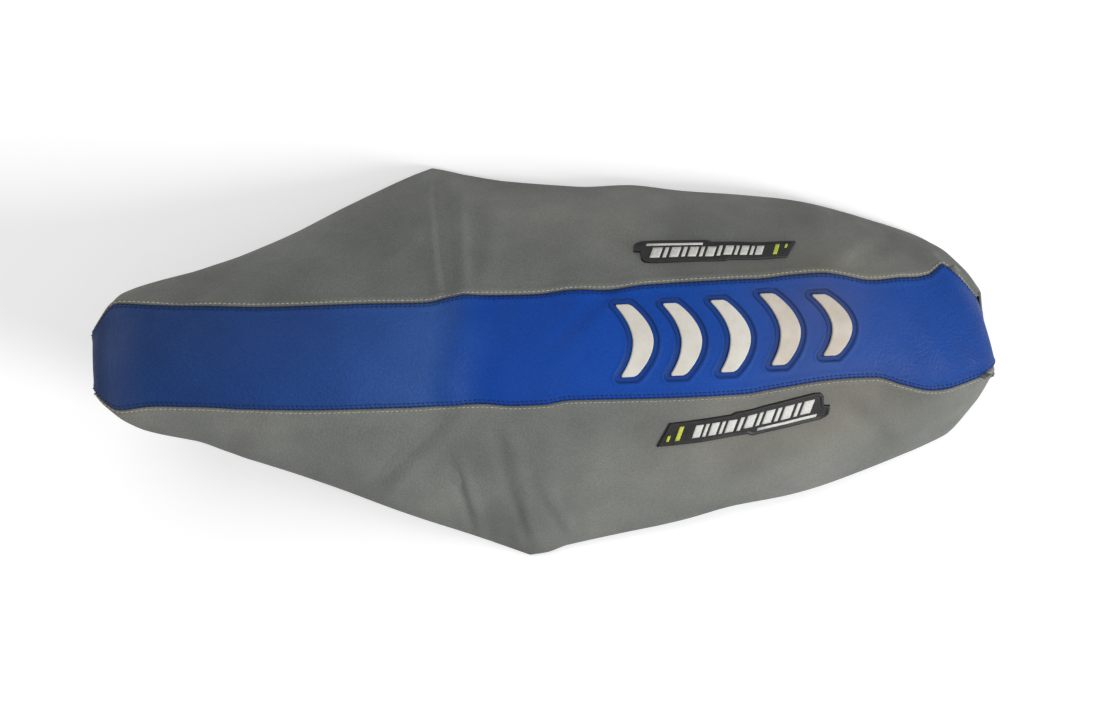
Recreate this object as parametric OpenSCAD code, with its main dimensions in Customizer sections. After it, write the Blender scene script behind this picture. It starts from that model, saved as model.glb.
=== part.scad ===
// Off-road motorcycle seat: a moulded base pan, a shaped foam and a sewn cover,
// with the hooks, brackets and rubber cushions that hold it on the frame.
// X runs from the nose (tank end) to the tail, Y to the rider's right, Z up.
// The origin is under the middle of the seat, which rests on its two skirt
// corners and its tail.

/* [Overall] */
// Length from nose to tail
seat_len = 700; // [560:5:860]
// Width across the two skirt corners
seat_w = 318; // [260:2:390]
// Height of the top line where it is highest, near the nose
seat_h = 151; // [130:1:180]
// Thickness of the nose
nose_thick = 36; // [30:1:46]
// Place of the right skirt corner, as a share of the length
right_corner = 0.36; // [0.3:0.01:0.42]
// Place of the left skirt corner, as a share of the length
left_corner = 0.455; // [0.43:0.01:0.55]
// Radius of the rounded nose edge
nose_r = 16; // [12:1:18]
// Radius of the rounded tail edge
tail_r = 26; // [20:1:30]
// Rise of the hollow underside in the middle of the seat
arch_rise = 42; // [30:1:50]

/* [Cover] */
// Widest width of the centre panel
strip_w = 88; // [74:1:106]
// Height of the crown across the centre panel
crown = 7; // [4:0.5:9]
// Outward bulge of the side panels, as a share of their height
side_bulge = 0.06; // [0.03:0.01:0.09]
// Thickness of the backed vinyl
cover_t = 2; // [1.5:0.1:2.4]
// Width of the cover that turns under the base
hem_w = 20; // [16:1:24]
// Width of the doubled seam allowance under each seam
allowance_w = 14; // [10:1:16]
// Thickness of the doubled seam allowance
allowance_t = 1; // [0.8:0.1:1.4]

/* [Grippers and badges] */
// Number of gripper inserts
gripper_count = 5; // [5:1:5]
// Place of the first insert, ahead of its arc
gripper_first_x = 66; // [50:1:76]
// Distance from one insert to the next
gripper_pitch = 38.8; // [36:0.2:41]
// Length of an insert across the seat
gripper_len = 56; // [44:1:60]
// Width of an insert at its middle
gripper_w = 15; // [12:0.5:17]
// Depth of an insert's arc
gripper_bow = 13; // [9:0.5:15]
// Height of an insert above the vinyl
gripper_t = 1.6; // [1:0.1:2.4]
// Length of a side badge
badge_len = 128; // [100:1:140]
// Height of a side badge
badge_h = 24; // [18:1:28]
// Thickness of a side badge
badge_t = 2.2; // [1.6:0.1:3]

/* [Base] */
// Wall of the moulded base pan
pan_t = 3; // [2.5:0.1:3.5]
// Depth of the ribs under the pan
rib_h = 8; // [6:0.5:10]
// Thickness of a rib
rib_t = 2.4; // [2:0.1:3]
// Spacing of the staples along the hem
staple_pitch = 25; // [20:1:34]

/* [Mounting hardware] */
// Thickness of the steel brackets
plate_t = 2.5; // [2:0.1:3]
// Diameter of the rear bolt holes
bolt_hole_d = 8.4; // [6.6:0.1:9]
// Width of the slot in the front hook
hook_slot_w = 9; // [7:0.5:10]
// Shank diameter of the bracket screws
screw_d = 5; // [4:0.5:5]
// Head diameter of the bracket screws
screw_head_d = 11; // [9:0.5:12]
// Diameter of a rubber cushion
cushion_d = 24; // [18:1:28]
// Height of a rubber cushion below its boss
cushion_h = 7; // [5:0.5:8]

/* [Hidden] */

right = 1;
left = -1;
x_nose = -seat_len / 2;
x_tail = seat_len / 2;

// Gaps between pieces that lie on each other
seam_gap = 0.3;
layer_gap = 0.2;
foam_gap = 0.3;
// Finite step for surface normals
step = 0.002;

// Shapes along the seat, each as [share of length, share of the named size]
strip_shape = [[0, 0.66], [0.03, 0.89], [0.1, 0.87], [0.25, 0.89], [0.4, 0.94], [0.55, 0.97],
    [0.7, 1], [0.85, 0.89], [0.93, 1.03], [0.97, 0.87], [1, 0.6]];
top_line = [[0, 0.993], [0.12, 1], [0.25, 0.967], [0.39, 0.868], [0.55, 0.801], [0.7, 0.735],
    [0.85, 0.636], [1, 0.45]];
arch_shape = [[0, 0.12], [0.1, 0.3], [0.3, 0.75], [0.42, 1], [0.6, 0.8], [0.8, 0.5],
    [0.95, 0.2], [1, 0.12]];
// Ahead of the skirt corner and behind it, as [share of that stretch, share of the named size]
skirt_front = [[0, 0.2], [0.1, 0.33], [0.25, 0.42], [0.5, 0.605], [0.75, 0.815], [1, 1]];
skirt_rear = [[0, 1], [0.2, 0.92], [0.4, 0.85], [0.6, 0.77], [0.8, 0.63], [0.9, 0.525],
    [0.97, 0.34], [1, 0.2]];
edge_front = [[0, 1], [0.12, 0.95], [0.3, 0.74], [0.6, 0.385], [0.85, 0.105], [1, 0]];
edge_rear = [[0, 0], [0.2, 0.5], [0.5, 1], [0.8, 0.42], [0.93, 0], [1, 0.1]];
// Height of the lower edge under the nose, and its highest sag between corner and tail
nose_low = seat_h * top_line[0][1] - nose_thick;
edge_arc = 12;

// Monotone cubic through a list of [position, value] stations
function chord(t, i) = (t[i + 1][1] - t[i][1]) / (t[i + 1][0] - t[i][0]);
function tangent(t, i) = i == 0 ? chord(t, 0)
    : i == len(t) - 1 ? chord(t, i - 1)
    : chord(t, i - 1) * chord(t, i) <= 0 ? 0
    : 2 * chord(t, i - 1) * chord(t, i) / (chord(t, i - 1) + chord(t, i));
function stretch(t, x, i = 0) = (i == len(t) - 2 || x <= t[i + 1][0]) ? i : stretch(t, x, i + 1);
function cubic(a, b, ma, mb, s) = a * (1 + 2 * s) * pow(1 - s, 2) + ma * s * pow(1 - s, 2)
    + b * s * s * (3 - 2 * s) + mb * s * s * (s - 1);
function smooth(t, x) = let (i = stretch(t, x), h = t[i + 1][0] - t[i][0])
    cubic(t[i][1], t[i + 1][1], tangent(t, i) * h, tangent(t, i + 1) * h, (x - t[i][0]) / h);

function clamp(a, low, high) = max(low, min(high, a));
function share(x) = clamp((x - x_nose) / seat_len, 0, 1);
function corner(s) = s > 0 ? right_corner : left_corner;
function corner_x(s) = x_nose + corner(s) * seat_len;
// Fall of a rounded end, at distance d from the tip
function fall(d, r) = d >= r ? 0 : r - sqrt(max(0, r * r - pow(r - d, 2)));
function end_fall(x) = fall(x - x_nose, nose_r) + fall(x_tail - x, tail_r);

function along(x, s, front, rear) = let (u = share(x), c = corner(s))
    u < c ? smooth(front, u / c) : smooth(rear, (u - c) / (1 - c));
function strip_half(x) = strip_w / 2 * smooth(strip_shape, share(x));
function skirt_half(x, s) = seat_w / 2 * along(x, s, skirt_front, skirt_rear);
function edge_z(x, s) = end_fall(x) + (share(x) < corner(s) ? nose_low : edge_arc)
    * along(x, s, edge_front, edge_rear);
function top_z(x) = seat_h * smooth(top_line, share(x)) - end_fall(x);
// Share of the crown and of the hollow that is left where the ends are rounded
function fullness(x) = clamp((top_z(x) - edge_z(x, right)) / nose_thick, 0, 1);

// Distance along the rows: 0 at the nose tip, 1 at the tail tip, even on the round ends
row_marks = [0, 0.09, 0.32, 0.42, 0.9, 1];
row_places = [x_nose, x_nose + nose_r, corner_x(right), corner_x(left), x_tail - tail_r, x_tail];
row_counts = [5, 14, 6, 22, 6];
function row_x(r) = r < row_marks[1] ? x_nose + nose_r * (1 - cos(90 * r / row_marks[1]))
    : r > row_marks[4] ? x_tail - tail_r * (1 - cos(90 * (1 - r) / (1 - row_marks[4])))
    : lookup(r, [for (i = [1:4]) [row_marks[i], row_places[i]]]);
function row_at(x) = lookup(x, [for (i = [0:5]) [row_places[i], row_marks[i]]]);
rows = [for (k = [0:4], i = [0:row_counts[k] - 1])
        row_marks[k] + (row_marks[k + 1] - row_marks[k]) * i / row_counts[k],
    1];

// Outside of the cover: v runs from -1 on the centre line over 0 at the seam to 1 at the edge
function over_top(x, s, k) = [x, s * k * strip_half(x), top_z(x) - crown * fullness(x) * k * k];
function down_side(x, s, v) = let (a = over_top(x, s, 1), wide = skirt_half(x, s) - strip_half(x),
        high = a[2] - edge_z(x, s), swell = 4 * side_bulge * v * (1 - v))
    [x, a[1] + s * (wide * v + high * swell), a[2] - high * v + wide * swell];
function outside(r, s, v) = v <= 0 ? over_top(row_x(r), s, 1 + v) : down_side(row_x(r), s, v);
function side_len(r, s) = norm(outside(r, s, 1) - outside(r, s, 0));

// Underside of the cover's hem, arched between the two lower edges
function under_z(x, y) = let (s = y < 0 ? left : right, k = clamp(abs(y) / skirt_half(x, s), 0, 1),
        t = (1 + s * k) / 2)
    edge_z(x, left) * (1 - t) + edge_z(x, right) * t
    + arch_rise * smooth(arch_shape, share(x)) * (1 - k * k) * fullness(x);
function underside(r, y) = [row_x(r), y, under_z(row_x(r), y)];

function unit(a) = a / norm(a);
function outside_normal(r, s, v) = let (lo = max(0, r - step), hi = min(1, r + step),
        va = max(-1, v - step), vb = min(1, v + step))
    s * unit(cross(outside(hi, s, v) - outside(lo, s, v), outside(r, s, vb) - outside(r, s, va)));
function underside_normal(r, y) = let (lo = max(0, r - step), hi = min(1, r + step))
    unit(cross(underside(hi, y) - underside(lo, y), [0, 1, 0])) * (-1);
// Both edges at a seam share its normal, so that they meet at any depth
seam_zone = 0.01;
function lifted(r, s, v, h) = outside(r, s, v)
    + h * outside_normal(r, s, abs(v) < seam_zone ? 0 : v);
function raised(r, y, h) = underside(r, y) - h * underside_normal(r, y);

// Closed solid between two grids of the same size, the first one outside
module skin(a, b) {
    n = len(a);
    m = len(a[0]);
    total = n * m;
    points = concat([for (row = a) each row], [for (row = b) each row]);
    faces = [
        for (i = [0:n - 2], j = [0:m - 2]) let (p = i * m + j)
            each [[p, p + 1, p + m + 1], [p, p + m + 1, p + m]],
        for (i = [0:n - 2], j = [0:m - 2]) let (p = total + i * m + j)
            each [[p, p + m + 1, p + 1], [p, p + m, p + m + 1]],
        for (j = [0:m - 2]) each wall(j + 1, j, total),
        for (j = [0:m - 2]) let (p = (n - 1) * m + j) each wall(p, p + 1, total),
        for (i = [0:n - 2]) each wall(i * m, (i + 1) * m, total),
        for (i = [0:n - 2]) each wall((i + 2) * m - 1, (i + 1) * m - 1, total)];
    polyhedron(points, faces, convexity = 8);
}
function wall(p, q, total) = [[p, q, total + q], [p, total + q, total + p]];
function reversed(a) = [for (i = [len(a) - 1:-1:0]) a[i]];
// Rows of points that run from the rider's left to the right
function left_to_right(a, s) = s > 0 ? a : reversed(a);

// ---- cover ----
strip_steps = 8;
side_steps = 9;
hem_steps = 3;
wrap_rows = 8;
wrap_len = 22;

// The hem narrows with the seat, to at most this share of its half width
hem_share = 0.45;
function hem_at(x, s) = min(hem_w, hem_share * skirt_half(x, s));
// Half width of the centre panel where it turns under the ends, between the two hems
tuck_gap = 1;
function tucked_half(x) = min(strip_half(x),
    min([for (s = [left, right]) skirt_half(x, s) - hem_at(x, s) - tuck_gap]));

function strip_row(r, h) = [for (j = [-strip_steps / 2:strip_steps / 2])
    let (k = abs(j) * 2 / strip_steps * (1 - seam_gap / 2 / strip_half(row_x(r))))
    lifted(r, j < 0 ? left : right, k - 1, -h)];
function tucked_row(r, h) = [for (j = [-strip_steps / 2:strip_steps / 2])
    raised(r, j * 2 / strip_steps * tucked_half(row_x(r)), h)];
nose_wrap = [for (i = [0:wrap_rows]) row_at(x_nose + wrap_len) * i / wrap_rows];
tail_wrap = [for (i = [0:wrap_rows]) 1 - (1 - row_at(x_tail - wrap_len - tail_r / 2)) * i / wrap_rows];
function strip_grid(h) = [for (r = reversed(nose_wrap)) tucked_row(r, h),
    for (r = rows) strip_row(r, h),
    for (r = tail_wrap) tucked_row(r, h)];

module top_panel() {
    color("royalblue")
        skin(strip_grid(0), strip_grid(cover_t));
}

function side_vs(r, s) = let (first = seam_gap / 2 / side_len(r, s))
    [for (j = [0:side_steps - 1]) first + (1 - first) * j / side_steps];
// The fold at the lower edge keeps the wall's thickness on both of its faces, up to a limit
fold_limit = 0.35;
function folded(r, s, h) = let (x = row_x(r), a = outside_normal(r, s, 1),
        b = underside_normal(r, s * skirt_half(x, s)))
    outside(r, s, 1) - h * (a + b) / max(fold_limit, 1 + a * b);
function side_row(r, s, h) = let (x = row_x(r), half = skirt_half(x, s))
    left_to_right([for (j = [hem_steps:-1:1]) raised(r, s * (half - hem_at(x, s) * j / hem_steps), h),
        folded(r, s, h),
        for (v = reversed(side_vs(r, s))) lifted(r, s, v, -h)], -s);
module side_panel(s) {
    color("silver")
        skin([for (r = rows) side_row(r, s, 0)], [for (r = rows) side_row(r, s, cover_t)]);
}
module left_side_panel() { side_panel(left); }
module right_side_panel() { side_panel(right); }

// Doubled strip of vinyl under each seam
allowance_rows = [for (r = rows) if (row_x(r) > x_nose + nose_r && row_x(r) < x_tail - tail_r) r];
function allowance_row(r, s, h) = let (k = allowance_w / 2 / strip_half(row_x(r)),
        v = allowance_w / 2 / side_len(r, s))
    left_to_right([lifted(r, s, -k, -h), lifted(r, s, 0, -h), lifted(r, s, v, -h)], s);
module seam_allowance(s) {
    top = cover_t + layer_gap;
    color("dimgray")
        skin([for (r = allowance_rows) allowance_row(r, s, top)],
            [for (r = allowance_rows) allowance_row(r, s, top + allowance_t)]);
}
module left_seam_allowance() { seam_allowance(left); }
module right_seam_allowance() { seam_allowance(right); }

// ---- grippers and badges ----
arc_steps = 14;
last_gripper_size = 0.86;
gripper_taper = 0.25;
tip_lead = 1;
// An insert is an arc across the seat, bowed to the rear and narrower at its ends
function gripper_point(i, a, b, h) = let (size = i == gripper_count - 1 ? last_gripper_size : 1,
        y = a * gripper_len * size / 2,
        w = gripper_w * (1 - gripper_taper * a * a) / 2,
        x = gripper_first_x + gripper_pitch * i + gripper_bow * (1 - a * a)
            - tip_lead * abs(a) + b * w)
    lifted(row_at(x), y < 0 ? left : right, abs(y) / strip_half(x) - 1, h);
function gripper_grid(i, h) = [for (b = [-1, 0, 1])
    [for (j = [0:arc_steps]) gripper_point(i, 2 * j / arc_steps - 1, b, h)]];
module gripper(i) {
    color(i < 3 ? "white" : "antiquewhite")
        skin(gripper_grid(i, layer_gap + gripper_t), gripper_grid(i, layer_gap));
}
module gripper_1() { gripper(0); }
module gripper_2() { gripper(1); }
module gripper_3() { gripper(2); }
module gripper_4() { gripper(3); }
module gripper_5() { gripper(4); }

badge_cols = 16;
badge_rows = 4;
// Centre of a badge along the seat and down the side, and its tilt
function badge_x(s) = seat_len * (s > 0 ? 0.19 : 0.222);
function badge_tilt(s) = s > 0 ? 1 : 10;
badge_drop = 34;
function badge_point(s, a, b, h) = let (x = badge_x(s) + a * badge_len / 2, r = row_at(x),
        down = badge_drop - a * badge_len / 2 * tan(badge_tilt(s)) + b * badge_h / 2)
    lifted(r, s, down / side_len(r, s), h);
function badge_grid(s, h) = [for (i = [0:badge_cols])
    left_to_right([for (j = [0:badge_rows])
        badge_point(s, 2 * i / badge_cols - 1, 2 * j / badge_rows - 1, h)], s)];
module badge(s) {
    color("black")
        skin(badge_grid(s, layer_gap + badge_t), badge_grid(s, layer_gap));
}
module left_badge() { badge(left); }
module right_badge() { badge(right); }

// ---- foam ----
foam_end = 3;
foam_side_steps = 5;
pan_inset = 8.6;
// Height of the pan's lower and upper faces above the outside of the hem
pan_gap = 0.35;
pan_low = cover_t + pan_gap;
pan_high = pan_low + pan_t;
// Every row near the nose, and every second one behind, which keeps both skirt corners
nose_rows = 13;
inner_rows = [for (i = [0:len(rows) - 1])
    if ((i < nose_rows || i % 2 == 1)
        && row_x(rows[i]) > x_nose + foam_end && row_x(rows[i]) < x_tail - foam_end) rows[i]];
foam_depth = cover_t + foam_gap;
seam_depth = foam_depth + layer_gap + allowance_t;
// The foam gives way to the seam allowance, and stops above the pan's edge
allowance_reach = allowance_w / 2 + 1.5;
foam_rim = 3;
function foam_reach(r, s) = let (x = row_x(r))
    max(0.1, 1 - (pan_high + foam_rim) / (over_top(x, s, 1)[2] - edge_z(x, s)));
function foam_over(r, s) = let (near = allowance_reach / side_len(r, s), reach = foam_reach(r, s))
    [for (v = [-0.65, -0.3]) lifted(r, s, v, -foam_depth),
    for (v = [-allowance_reach / strip_half(row_x(r)), 0, near]) lifted(r, s, v, -seam_depth),
    for (j = [1:foam_side_steps])
        lifted(r, s, near + (reach - near) * j / foam_side_steps, -foam_depth)];
foam_cols = 2 * (5 + foam_side_steps);
function foam_top_row(r) = concat(reversed(foam_over(r, left)), [lifted(r, right, -1, -foam_depth)],
    foam_over(r, right));
function pan_edge(x, s) = skirt_half(x, s) - pan_inset;
function pan_y(x, k) = k * pan_edge(x, k < 0 ? left : right);
function pan_row(r, h) = [for (j = [0:foam_cols]) raised(r, pan_y(row_x(r), 2 * j / foam_cols - 1), h)];
module foam_block() {
    color("darkseagreen")
        skin([for (r = inner_rows) foam_top_row(r)],
            [for (r = inner_rows) pan_row(r, pan_high + foam_gap)]);
}

// ---- base pan ----
pan_rows = [for (i = [1:len(inner_rows) - 2]) inner_rows[i]];
// Rib along the seat at a share of the half width, or across it at one place
rib_sink = pan_t / 2;
rib_steps = 24;
rib_ends = [0.105, 0.925];
rib_reach = [for (i = [0:rib_steps])
    row_at(x_nose + seat_len * (rib_ends[0] + (rib_ends[1] - rib_ends[0]) * i / rib_steps))];
module long_rib(k) {
    function line(r, side, h) = let (x = row_x(r), y = pan_y(x, k) + side * rib_t / 2)
        [x, y, under_z(x, pan_y(x, k)) + h];
    skin([for (r = rib_reach) [line(r, -1, pan_low + rib_sink), line(r, 1, pan_low + rib_sink)]],
        [for (r = rib_reach) [line(r, -1, pan_low - rib_h), line(r, 1, pan_low - rib_h)]]);
}
cross_steps = 11;
cross_reach = 0.78;
cross_rib_h = 0.7 * rib_h;
module cross_rib(x) {
    function line(j, side, h) = let (y = pan_y(x, cross_reach * (2 * j / cross_steps - 1)))
        [x + side * rib_t / 2, y, under_z(x, y) + h];
    skin([for (side = [-1, 1]) [for (j = [0:cross_steps]) line(j, side, pan_low + rib_sink)]],
        [for (side = [-1, 1]) [for (j = [0:cross_steps]) line(j, side, pan_low - cross_rib_h)]]);
}
// Solid block under the pan with a flat lower face, for a bracket or a cushion
module boss(p, size, rim) {
    function corner_at(i, j) = [p[0] + i * (size[0] / 2 + rim), p[1] + j * (size[1] / 2 + rim)];
    function top(i, j) = let (q = corner_at(i, j))
        [q[0], q[1], under_z(q[0], q[1]) + pan_low + rib_sink];
    function bottom(i, j) = concat(corner_at(i, j), p[2]);
    skin([for (i = [-1, 0, 1]) [for (j = [-1, 0, 1]) top(i, j)]],
        [for (i = [-1, 0, 1]) [for (j = [-1, 0, 1]) bottom(i, j)]]);
}
long_rib_shares = [-0.6, -0.3, 0.3, 0.6];
cross_rib_shares = [0.16, 0.26, 0.36, 0.56, 0.66, 0.84];

// Plan sizes of the plates, and places of the hardware as [x, y, floor of its boss]
hook_base = [34, 56];
middle_base = [40, 56];
bracket_base = [48, 26];
front_hook_share = 0.1;
middle_hook_share = 0.47;
rear_bracket_share = 0.67;
cushion_shares = [0.2, 0.79];
// A boss reaches below the pan and its ribs over its whole footprint, and as far as its twin
function under_boss(x, y, size) = [x, y, pan_low - rib_h - 1
    + min([for (s = [left, right], i = [-1:1], j = [-1:1])
        under_z(x + i * size[0] / 2, s * y + j * size[1] / 2)])];
front_hook_at = under_boss(x_nose + seat_len * front_hook_share, 0, hook_base);
middle_hook_at = under_boss(x_nose + seat_len * middle_hook_share, 0, middle_base);
rear_bracket_y = 58;
function rear_bracket_at(s) = under_boss(x_nose + seat_len * rear_bracket_share,
    s * rear_bracket_y, bracket_base);
cushion_y = [26, 52];
function cushion_at(row, s) = under_boss(x_nose + seat_len * cushion_shares[row],
    s * cushion_y[row], [cushion_d, cushion_d]);
cushion_places = [for (row = [0, 1], s = [left, right]) cushion_at(row, s)];
stem_d = 8;
stem_len = 6;
stem_gap = 0.1;
// Boss left around a plate and around a cushion
plate_rim = 3;
cushion_rim = 2;

hook_screw_y = 19;
bracket_screw_x = 15;
screw_len = 9;
module base_pan() {
    color("dimgray")
        difference() {
            union() {
                skin([for (r = pan_rows) pan_row(r, pan_high)], [for (r = pan_rows) pan_row(r, pan_low)]);
                for (k = long_rib_shares)
                    long_rib(k);
                for (u = cross_rib_shares)
                    cross_rib(x_nose + seat_len * u);
                boss(front_hook_at, hook_base, plate_rim);
                boss(middle_hook_at, middle_base, plate_rim);
                for (s = [left, right])
                    boss(rear_bracket_at(s), bracket_base, plate_rim);
                for (p = cushion_places)
                    boss(p, [cushion_d, cushion_d], cushion_rim);
            }
            for (p = screw_places)
                translate([p[0], p[1], p[2] - 1])
                    cylinder(d = screw_d, h = screw_len + 1, $fn = 32);
            for (p = cushion_places)
                translate([p[0], p[1], p[2] - 1])
                    cylinder(d = stem_d + 2 * stem_gap, h = stem_len + 1.5, $fn = 32);
        }
}

// ---- fasteners ----
function pair_y(p, y) = [for (s = [left, right]) [p[0], p[1] + s * y, p[2]]];
function pair_x(p, x) = [for (s = [-1, 1]) [p[0] + s * x, p[1], p[2]]];
front_screws = pair_y(front_hook_at, hook_screw_y);
middle_screws = pair_y(middle_hook_at, hook_screw_y);
rear_screws = concat(pair_x(rear_bracket_at(left), bracket_screw_x),
    pair_x(rear_bracket_at(right), bracket_screw_x));
screw_places = concat(front_screws, middle_screws, rear_screws);
head_h = 3;
socket_share = 0.8;
socket_depth = 1.6;
tip_gap = 0.5;
// Pan-head screw that points up into its boss, with its head under the plate
module screw(p) {
    translate([p[0], p[1], p[2] - plate_t - head_h])
        difference() {
            union() {
                cylinder(d1 = screw_head_d - 2, d2 = screw_head_d, h = 1, $fn = 32);
                translate([0, 0, 1])
                    cylinder(d = screw_head_d, h = head_h - 1, $fn = 32);
                translate([0, 0, head_h])
                    cylinder(d = screw_d, h = plate_t + screw_len - tip_gap, $fn = 32);
            }
            translate([0, 0, -1])
                cylinder(d = screw_d * socket_share, h = socket_depth + 1, $fn = 6);
        }
}
module screws(places) {
    color("gainsboro")
        for (p = places)
            screw(p);
}
module front_hook_screws() { screws(front_screws); }
module middle_hook_screws() { screws(middle_screws); }
module rear_bracket_screws() { screws(rear_screws); }

staple_crown = 10;
staple_wire = [1.2, 0.7];
staple_inset = 11;
staple_gap = 0.45;
function slope_x(x, y) = (under_z(x + 5, y) - under_z(x - 5, y)) / 10;
function slope_y(x, y) = (under_z(x, y + 2) - under_z(x, y - 2)) / 4;
module staple(x, y, turn) {
    translate([x, y, under_z(x, y) - staple_gap])
        rotate([atan(slope_y(x, y)), -atan(slope_x(x, y)), 0])
            rotate([0, 0, turn])
                translate([-staple_crown / 2, -staple_wire[0] / 2, -staple_wire[1]])
                    cube([staple_crown, staple_wire[0], staple_wire[1]]);
}
staple_margin = 36;
staples_a_side = floor((seat_len - 2 * staple_margin) / staple_pitch);
// Turn of the lower edge in plan, so that staples run along it
function edge_turn(x, s) = s * atan((skirt_half(x + 2, s) - skirt_half(x - 2, s)) / 4);
end_staple_y = 12;
nose_staple_x = 0.7 * wrap_len;
tail_staple_x = wrap_len + 4;
module cover_staples() {
    color("gainsboro") {
        for (s = [left, right], i = [0:staples_a_side]) {
            x = x_nose + staple_margin + i * (seat_len - 2 * staple_margin) / staples_a_side;
            if (abs(x - corner_x(s)) > 1.5 * staple_crown)
                staple(x, s * (skirt_half(x, s) - staple_inset), edge_turn(x, s));
        }
        for (y = [-end_staple_y, end_staple_y]) {
            staple(x_nose + nose_staple_x, y, 90);
            staple(x_tail - tail_staple_x, y, 90);
        }
    }
}

// ---- brackets and cushions ----
module plate(p, size, screws_at) {
    difference() {
        translate([p[0] - size[0] / 2, p[1] - size[1] / 2, p[2] - plate_t])
            cube([size[0], size[1], plate_t]);
        for (q = screws_at)
            translate([q[0], q[1], q[2] - plate_t - 1])
                cylinder(d = screw_d, h = plate_t + 2, $fn = 32);
    }
}
hook_leg = 14;
hook_tongue = 24;
hook_w = 30;
// Share of the tongue that the slot takes
slot_share = 0.6;
// Slotted tongue that slides under the tank's rear post
module front_hook() {
    p = front_hook_at;
    x = p[0] - hook_base[0] / 2;
    z = p[2] - plate_t - hook_leg;
    color("slategray") {
        difference() {
            union() {
                plate(p, hook_base, front_screws);
                translate([x, -hook_w / 2, z])
                    cube([plate_t, hook_w, hook_leg + plate_t]);
                translate([x - hook_tongue, -hook_w / 2, z])
                    cube([hook_tongue + plate_t, hook_w, plate_t]);
            }
            translate([x - hook_tongue - 1, -hook_slot_w / 2, z - 1])
                cube([hook_tongue * slot_share + 1, hook_slot_w, plate_t + 2]);
            translate([x - hook_tongue * (1 - slot_share), 0, z - 1])
                cylinder(d = hook_slot_w, h = plate_t + 2, $fn = 48);
        }
    }
}
catch_leg = 18;
catch_lip = 20;
catch_w = 46;
catch_leg_w = 16;
// Catch that slides forward under the frame's cross tube
module middle_hook() {
    p = middle_hook_at;
    x = p[0] + middle_base[0] / 2 - plate_t;
    z = p[2] - plate_t - catch_leg;
    color("slategray") {
        plate(p, middle_base, middle_screws);
        for (s = [left, right])
            translate([x, s * (catch_w - catch_leg_w) / 2 - catch_leg_w / 2, z])
                cube([plate_t, catch_leg_w, catch_leg + plate_t]);
        translate([x - catch_lip, -catch_w / 2, z])
            cube([catch_lip + plate_t, catch_w, plate_t]);
    }
}
bolt_drop = 12;
bracket_leg_w = 20;
// Angle bracket with the hole for one rear seat bolt
module rear_bracket(s) {
    p = rear_bracket_at(s);
    y = p[1] - s * (bracket_base[1] / 2) - (s > 0 ? 0 : plate_t);
    bolt_z = p[2] - bolt_drop;
    color("slategray")
        difference() {
            union() {
                plate(p, bracket_base, pair_x(p, bracket_screw_x));
                translate([p[0] - bracket_leg_w / 2, y, bolt_z])
                    cube([bracket_leg_w, plate_t, p[2] - bolt_z]);
                translate([p[0], y, bolt_z])
                    rotate([-90, 0, 0])
                        cylinder(d = bracket_leg_w, h = plate_t, $fn = 48);
            }
            translate([p[0], y - 1, bolt_z])
                rotate([-90, 0, 0])
                    cylinder(d = bolt_hole_d, h = plate_t + 2, $fn = 48);
        }
}
module left_rear_bracket() { rear_bracket(left); }
module right_rear_bracket() { rear_bracket(right); }

cushion_chamfer = 1.5;
// Push-in rubber cushion: a disc with a stem in the boss above it
module cushion(p) {
    color("black")
        translate([p[0], p[1], p[2] - cushion_h]) {
            cylinder(d1 = cushion_d - 2 * cushion_chamfer, d2 = cushion_d, h = cushion_chamfer, $fn = 48);
            translate([0, 0, cushion_chamfer])
                cylinder(d = cushion_d, h = cushion_h - cushion_chamfer, $fn = 48);
            translate([0, 0, cushion_h])
                cylinder(d = stem_d, h = stem_len, $fn = 32);
        }
}
module front_left_cushion() { cushion(cushion_at(0, left)); }
module front_right_cushion() { cushion(cushion_at(0, right)); }
module rear_left_cushion() { cushion(cushion_at(1, left)); }
module rear_right_cushion() { cushion(cushion_at(1, right)); }

base_pan();
foam_block();
top_panel();
left_side_panel();
right_side_panel();
left_seam_allowance();
right_seam_allowance();
gripper_1();
gripper_2();
gripper_3();
gripper_4();
gripper_5();
left_badge();
right_badge();
cover_staples();
front_hook();
front_hook_screws();
middle_hook();
middle_hook_screws();
left_rear_bracket();
right_rear_bracket();
rear_bracket_screws();
front_left_cushion();
front_right_cushion();
rear_left_cushion();
rear_right_cushion();
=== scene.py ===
import math

import bpy
import numpy as np
from mathutils import Matrix, Vector


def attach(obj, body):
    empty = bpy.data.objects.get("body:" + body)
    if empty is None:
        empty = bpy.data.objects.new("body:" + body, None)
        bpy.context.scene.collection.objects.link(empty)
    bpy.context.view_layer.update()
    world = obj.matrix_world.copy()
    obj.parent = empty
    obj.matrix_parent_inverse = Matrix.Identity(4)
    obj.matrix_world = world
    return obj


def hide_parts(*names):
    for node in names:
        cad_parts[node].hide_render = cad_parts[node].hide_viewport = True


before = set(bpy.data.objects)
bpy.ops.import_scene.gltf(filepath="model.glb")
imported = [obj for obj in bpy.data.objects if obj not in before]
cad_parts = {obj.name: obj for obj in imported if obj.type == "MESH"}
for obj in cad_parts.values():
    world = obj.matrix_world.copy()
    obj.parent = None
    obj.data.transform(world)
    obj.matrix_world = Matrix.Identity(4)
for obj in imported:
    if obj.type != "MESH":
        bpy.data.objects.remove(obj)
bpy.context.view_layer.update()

# Off-road motorcycle seat. X runs from the nose to the tail, Y to the rider's right, Z up, in metres.
# The plain shape has the same sizes and stations as the CAD part. The sewn cover then departs from it
# by the folds, pulls and moves below, which put seams, edges, inserts and badges where the photograph
# has them.

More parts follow.
